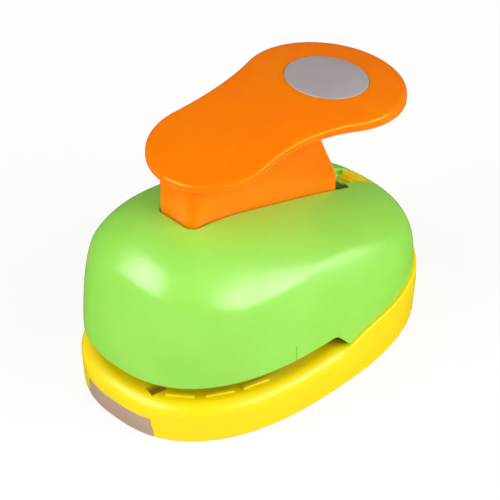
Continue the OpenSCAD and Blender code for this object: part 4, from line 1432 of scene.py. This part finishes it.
    def strap(self) -> Solid:
        """Make the strap behind the stem with an eye for the lock's bolt.

        Returns:
            The strap.
        """
        root_y, middle = LEVER.pivot_y + self.strap_r, (LEVER.pivot_y, LEVER.pivot_z)
        rise = self.crown(0, root_y) - self.skin / 2 - LEVER.pivot_z
        root = math.degrees(math.asin(rise / self.strap_r))
        tip = self.eye_angle - math.degrees(math.atan(self.eye_h / self.strap_r))
        outline = (arc(middle, self.strap_r, tip, root, self.strap_steps)
                   + arc(middle, self.strap_r - self.strap_t, root, tip, self.strap_steps))
        strap = Bench.prism("strap", outline, -self.strap_half, self.strap_half, ACROSS)
        place = (Matrix.Translation((0, *middle)) @ Matrix.Rotation(math.radians(self.eye_angle), 4, "X")
                 @ Matrix.Translation((0, self.strap_r - self.strap_t / 2, 0)))
        eye = Bench.block("eye", (-self.eye_half, -self.eye_reach, -self.eye_h / 2),
                          (self.eye_half, self.eye_reach, self.eye_h / 2), place)
        Bench.join(strap, eye, Join.CUT)
        return strap

    def rib(self, y: float) -> Solid:
        """Make a stiffening rib across the hollow under the paddle's back lobe.

        Args:
            y: Place of the rib along the paddle.

        Returns:
            The rib.
        """
        (by, br), low = self.back, self.crown(0, y) - self.edge_t + self.rib_lap
        half = math.sqrt((br - self.rim) ** 2 - (y - by) ** 2) + self.rib_lap
        return Bench.block("rib", (-half, y - self.rib_t / 2, low),
                           (half, y + self.rib_t / 2, low + self.edge_t - self.skin - self.rib_gap))

    def seat(self) -> Matrix:
        """Find the badge's seat, square to the crown.

        Returns:
            Turn and move to the seat, in millimetres.
        """
        tilt = math.asin((self.badge_y - self.crown_y) / self.crown_r)
        sink = (2 * self.badge_r) ** 2 / (16 * self.crown_r)
        return (Matrix.Translation((0, self.badge_y, self.crown(0, self.badge_y)))
                @ Matrix.Rotation(-tilt, 4, "X") @ Matrix.Translation((0, 0, -self.badge_t - sink)))

    def badge(self) -> Solid:
        """Make the satin disc with a rounded rim.

        Returns:
            The disc.
        """
        seat = self.seat()
        badge = Bench.rod("shape_badge_disc", self.badge_r, 0, self.badge_t, seat, self.round_sides)
        top, up = seat @ Vector((0, 0, self.badge_t)), (seat.to_3x3() @ Vector((0, 0, 1))).normalized()
        Bench.round_edges(badge, self.badge_edge, lambda middle, rise, bend: (
            bend > 60 and (middle - top).dot(up) > -0.1), 4)
        return badge

    def build(self, finishes: Finishes) -> None:
        """Build and dress the lever and its badge.

        Args:
            finishes: All materials.
        """
        handle = self.paddle()
        for part in (self.stem(), self.strap(), *(self.rib(y) for y in self.ribs)):
            Bench.join(handle, part, Join.WELD)
        pivot = ACROSS @ Matrix.Translation((LEVER.pivot_y, LEVER.pivot_z, 0))
        Bench.join(handle, Bench.rod("bore", self.pivot_r, -THROUGH, THROUGH, pivot), Join.CUT)
        pocket_r = self.badge_r + self.badge_fit
        pocket = Bench.rod("pocket", pocket_r, 0, self.pocket_h, self.seat(), self.round_sides)
        Bench.join(handle, pocket, Join.CUT)
        dress(handle, finishes, "orange_abs", Bodies.LEVER, "lever_handle")
        dress(self.badge(), finishes, "grey_badge", Bodies.LEVER, "shape_badge")


@dataclass
class LockSlide:
    """Yellow tongue that follows the dome, with grip grooves and a post below."""

    rise: float = -0.15
    play: float = 0.15
    post_lap: float = 0.05
    grooves: int = 3
    groove_start: float = 2.2
    groove_step: float = 2.4
    groove_r: float = 0.6
    groove_sink: float = 0.15
    groove_half: float = 12.0
    above: float = 14.0
    post: Point = (2.5, 2.5, 5.9)

    def build(self, finishes: Finishes) -> None:
        """Build and dress the lock slide.

        Args:
            finishes: All materials.
        """
        half, track, low = LOCK.half, LOCK.track(), LOCK.floor + self.play
        outline = arc((0, half - LOCK.front), half, 180, 360, 32) + [(half, LOCK.back), (-half, LOCK.back)]
        tongue = Bench.prism("lock_slide_tongue", outline, low, self.above, track)
        Bench.join(tongue, FORM.dome_solid(180, 40, self.rise), Join.KEEP)
        for k in range(self.grooves):
            middle = (0, k * self.groove_step + self.groove_start, self.rise - self.groove_sink)
            place = track @ Matrix.Translation(middle) @ Matrix.Rotation(math.pi / 2, 4, "Y")
            groove = Bench.rod("groove", self.groove_r, -self.groove_half, self.groove_half, place, 32)
            Bench.join(tongue, groove, Join.CUT)
        wide, long, deep = self.post
        post = Bench.block("post", (-wide, -long, -deep), (wide, long, low + self.post_lap), track)
        Bench.join(tongue, post, Join.WELD)
        dress(tongue, finishes, "yellow_abs", Bodies.LOCK, "lock_slide")


@dataclass
class ReturnSpring:
    """Compression spring round a guide pin, which shortens as the cutter goes down; it is wound here at one
    length.
    """

    x: float = 26.7
    low: float = 21.9
    length: float = 11.02
    wire_r: float = 0.5
    coil_r: float = 3.7
    curls: float = 4.5
    stroke: float = 5.0
    wire_sides: int = 14
    curl_steps: int = 28

    def build(self, finishes: Finishes, side: int, name: str) -> None:
        """Wind and dress the spring on one side.

        Args:
            finishes: All materials.
            side: 1 for the right side, -1 for the left.
            name: Node that the spring stands for.
        """
        Bench.hold()
        bpy.ops.mesh.primitive_circle_add(vertices=self.wire_sides, radius=self.wire_r * MM)
        wire = Bench.take(name + "_wound")
        Bench.place(wire, Matrix.Translation((self.coil_r, 0, 0)) @ Matrix.Rotation(math.pi / 2, 4, "X"))
        steps = int(self.curl_steps * self.curls)
        Bench.modify(wire, "SCREW", axis="Z", angle=math.radians(360 * self.curls), steps=steps,
                     render_steps=steps, screw_offset=(self.length - 2 * self.wire_r) * MM,
                     use_smooth_shade=True)
        x, y = side * self.x, CUTTING.cut_y
        Bench.place(wire, Matrix.Translation((x, y, self.low + self.wire_r)))
        Bench.close(wire)
        dress(wire, finishes, "spring_steel", Bodies.BODY, name)
        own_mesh(wire)


class Mechanism:
    """Solids inside the body, which keep their shape and get their finishes, and the springs."""

    slots: ClassVar[dict[str, str]] = {
        "cover_screws": "zinc_screw", "die_plate": "tool_steel", "throat_spacer": "spring_steel",
        "guide_plate": "tool_steel", "die_screws": "black_screw", "guide_pin_left": "ground_steel",
        "guide_pin_right": "ground_steel", "cutter": "tool_steel", "press_bar": "white_acetal",
        "bar_screws": "black_screw", "pivot_pin": "ground_steel", "pin_clip_left": "black_clip",
        "pin_clip_right": "black_clip", "lock_keeper": "white_acetal",
    }

    def build(self, finishes: Finishes) -> None:
        """Dress the solids and wind the springs.

        Args:
            finishes: All materials.
        """
        for node, slot in self.slots.items():
            finishes.wear(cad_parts[node], slot)
            log.info("%s: finish %s", node, slot)
        ReturnSpring().build(finishes, 1, "return_spring_right")
        ReturnSpring().build(finishes, -1, "return_spring_left")


# Stage


@dataclass(frozen=True)
class SoftBox:
    """Rectangular soft light that faces the punch: angles in degrees from its front, sizes in millimetres."""

    name: str
    azimuth: float
    elevation: float
    distance: float
    size: Plan
    watts: float
    # Whether it shows in reflections
    mirrored: bool = True


@dataclass
class Studio:
    """Pale floor, two soft boxes that show as highlights, two fills and the photograph's camera."""

    azimuth: float = 45.323
    elevation: float = 38.315
    distance: float = 900.0
    aim: Point = (1.82, -2.33, 36.29)
    lens: float = 205.3
    sensor: float = 36.0
    clip_m: Plan = (0.05, 20.0)
    lamp_aim: Point = (0.0, 0.0, 40.0)
    lamps: tuple[SoftBox, ...] = (
        SoftBox("left_softbox", -16, 34, 900, (700, 560), 5.9),
        SoftBox("right_softbox", 115, 23, 900, (1100, 360), 5.7),
        SoftBox("right_fill", 100, 45, 1100, (900, 500), 2.4, mirrored=False),
        SoftBox("top_fill", 45, 86, 1100, (900, 900), 0.7, mirrored=False))
    floor_m: float = 6.0
    white: str = "#FFFFFF"
    paper_tone: str = "#F4F4F2"
    # Painted brown shade that the table shows the camera inside the foot
    hollow_painted_shade: str = "#865C22"
    flag_tone: str = "#101010"
    # Shares of the oval foot between which the table turns from the painted brown shade of the hollow to
    # white
    foot: Plan = (0.93, 0.97)
    # Share of its glow (white, and painted brown shade inside the foot) that the table shows the camera, and
    # share of it that is flagged
    floor_glow: float = 0.8
    floor_flag: float = 0.92
    # Level of the surroundings as fill light and in reflections
    fill: Plan = (0.38, 0.05)

    def build(self) -> None:
        """Set up the stage."""
        self.floor()
        self.world()
        for lamp in self.lamps:
            self.light(lamp)
        self.camera()

    @staticmethod
    def put(name: str, data: bpy.types.ID, angles: Plan, distance: float, aim: Point) -> Solid:
        """Put a lamp or camera round a point and turn it to face it.

        Args:
            name: Name of the object.
            data: Light or camera.
            angles: Azimuth from the front and elevation, in degrees.
            distance: Distance from the point, in millimetres.
            aim: The point, in millimetres.

        Returns:
            The object.
        """
        turn, rise = (math.radians(angle) for angle in angles)
        back = Vector((math.sin(turn) * math.cos(rise), -math.cos(turn) * math.cos(rise), math.sin(rise)))
        thing = bpy.data.objects.new(name, data)
        bpy.context.scene.collection.objects.link(thing)
        thing.location = (Vector(aim) + back * distance) * MM
        thing.rotation_euler = (Vector(aim) * MM - thing.location).to_track_quat("-Z", "Y").to_euler()
        return thing

    def light(self, lamp: SoftBox) -> None:
        """Add a soft light.

        Args:
            lamp: Its place, size and power.
        """
        data = bpy.data.lights.new(lamp.name, "AREA")
        data.shape, data.energy = "RECTANGLE", lamp.watts
        data.size, data.size_y = lamp.size[0] * MM, lamp.size[1] * MM
        light = self.put(lamp.name, data, (lamp.azimuth, lamp.elevation), lamp.distance, self.lamp_aim)
        light.visible_glossy = lamp.mirrored

    def floor(self) -> None:
        """Lay a wide pale table that shows white to the camera and keeps a soft shadow, with a painted brown
        shade inside the foot.
        """
        Bench.hold()
        bpy.ops.mesh.primitive_plane_add(size=self.floor_m)
        floor = Bench.take("studio_floor")
        material, tree, place = Finish("pale_paper_sweep").start()
        ray = add_node(tree, "ShaderNodeLightPath").outputs
        # Inside the punch's foot the table glows a painted brown shade to the camera, which the window in the
        # deck shows in place of the shaded hollow
        foot = add_node(tree, "ShaderNodeMapping", {
            "Vector": place, "Scale": (1 / (FORM.half_wid * MM), 1 / (FORM.half_len * MM), 0.0)})
        reach = add_node(tree, "ShaderNodeVectorMath", {0: foot.outputs["Vector"]}, operation="LENGTH")
        outside = add_node(tree, "ShaderNodeMapRange", {
            "Value": reach.outputs["Value"], "From Min": self.foot[0], "From Max": self.foot[1]})
        white_and_painted_shade = add_node(tree, "ShaderNodeValToRGB", {"Fac": outside.outputs["Result"]},
                        ((0.0, self.hollow_painted_shade), (1.0, self.white)))
        glow = add_node(tree, "ShaderNodeEmission", {"Color": white_and_painted_shade.outputs["Color"], "Strength": 1.0})
        paper = add_node(tree, "ShaderNodeBsdfDiffuse", {"Color": linear(self.paper_tone)})
        share = add_node(tree, "ShaderNodeMath", {0: ray["Is Camera Ray"], 1: self.floor_glow},
                         operation="MULTIPLY")
        both = add_node(tree, "ShaderNodeMixShader", {
            0: share.outputs[0], 1: paper.outputs["BSDF"], 2: glow.outputs["Emission"]})
        # Black flags keep most of the table out of the reflections
        black = add_node(tree, "ShaderNodeBsdfDiffuse", {"Color": linear(self.flag_tone)})
        flag = add_node(tree, "ShaderNodeMath", {0: ray["Is Glossy Ray"], 1: self.floor_flag},
                        operation="MULTIPLY")
        flagged = add_node(tree, "ShaderNodeMixShader", {
            0: flag.outputs[0], 1: both.outputs["Shader"], 2: black.outputs["BSDF"]})
        add_node(tree, "ShaderNodeOutputMaterial", {"Surface": flagged.outputs["Shader"]})
        floor.data.materials.append(material)

    def world(self) -> None:
        """Surround the stage with white for the camera, dimmer as fill light and darker in reflections."""
        world = bpy.data.worlds.new("studio_world")
        bpy.context.scene.world = world
        world.use_nodes = True
        tree = world.node_tree
        tree.nodes.clear()
        ray = add_node(tree, "ShaderNodeLightPath").outputs
        fill = add_node(tree, "ShaderNodeMapRange", {
            "Value": ray["Is Glossy Ray"], "To Min": self.fill[0], "To Max": self.fill[1]})
        level = add_node(tree, "ShaderNodeMapRange", {
            "Value": ray["Is Camera Ray"], "To Min": fill.outputs["Result"], "To Max": 1.0})
        sky = add_node(tree, "ShaderNodeBackground", {
            "Color": linear(self.white), "Strength": level.outputs["Result"]})
        add_node(tree, "ShaderNodeOutputWorld", {"Surface": sky.outputs["Background"]})

    def camera(self) -> None:
        """Set the camera at the photograph's angle."""
        data = bpy.data.cameras.new("photo_camera")
        data.lens, data.sensor_width = self.lens, self.sensor
        data.clip_start, data.clip_end = self.clip_m
        angles = (self.azimuth, self.elevation)
        bpy.context.scene.camera = self.put("photo_camera", data, angles, self.distance, self.aim)
        bpy.context.scene.view_settings.view_transform = "Standard"


def main() -> None:
    """Build the stage and every sub-assembly."""
    logging.basicConfig(level=logging.INFO, format="%(name)s: %(message)s")
    Studio().build()
    finishes = Finishes()
    for assembly in (Base(), FrontPlate(), Cover(), Handle(), LockSlide(), Mechanism()):
        assembly.build(finishes)


if __name__ == "__main__":
    main()
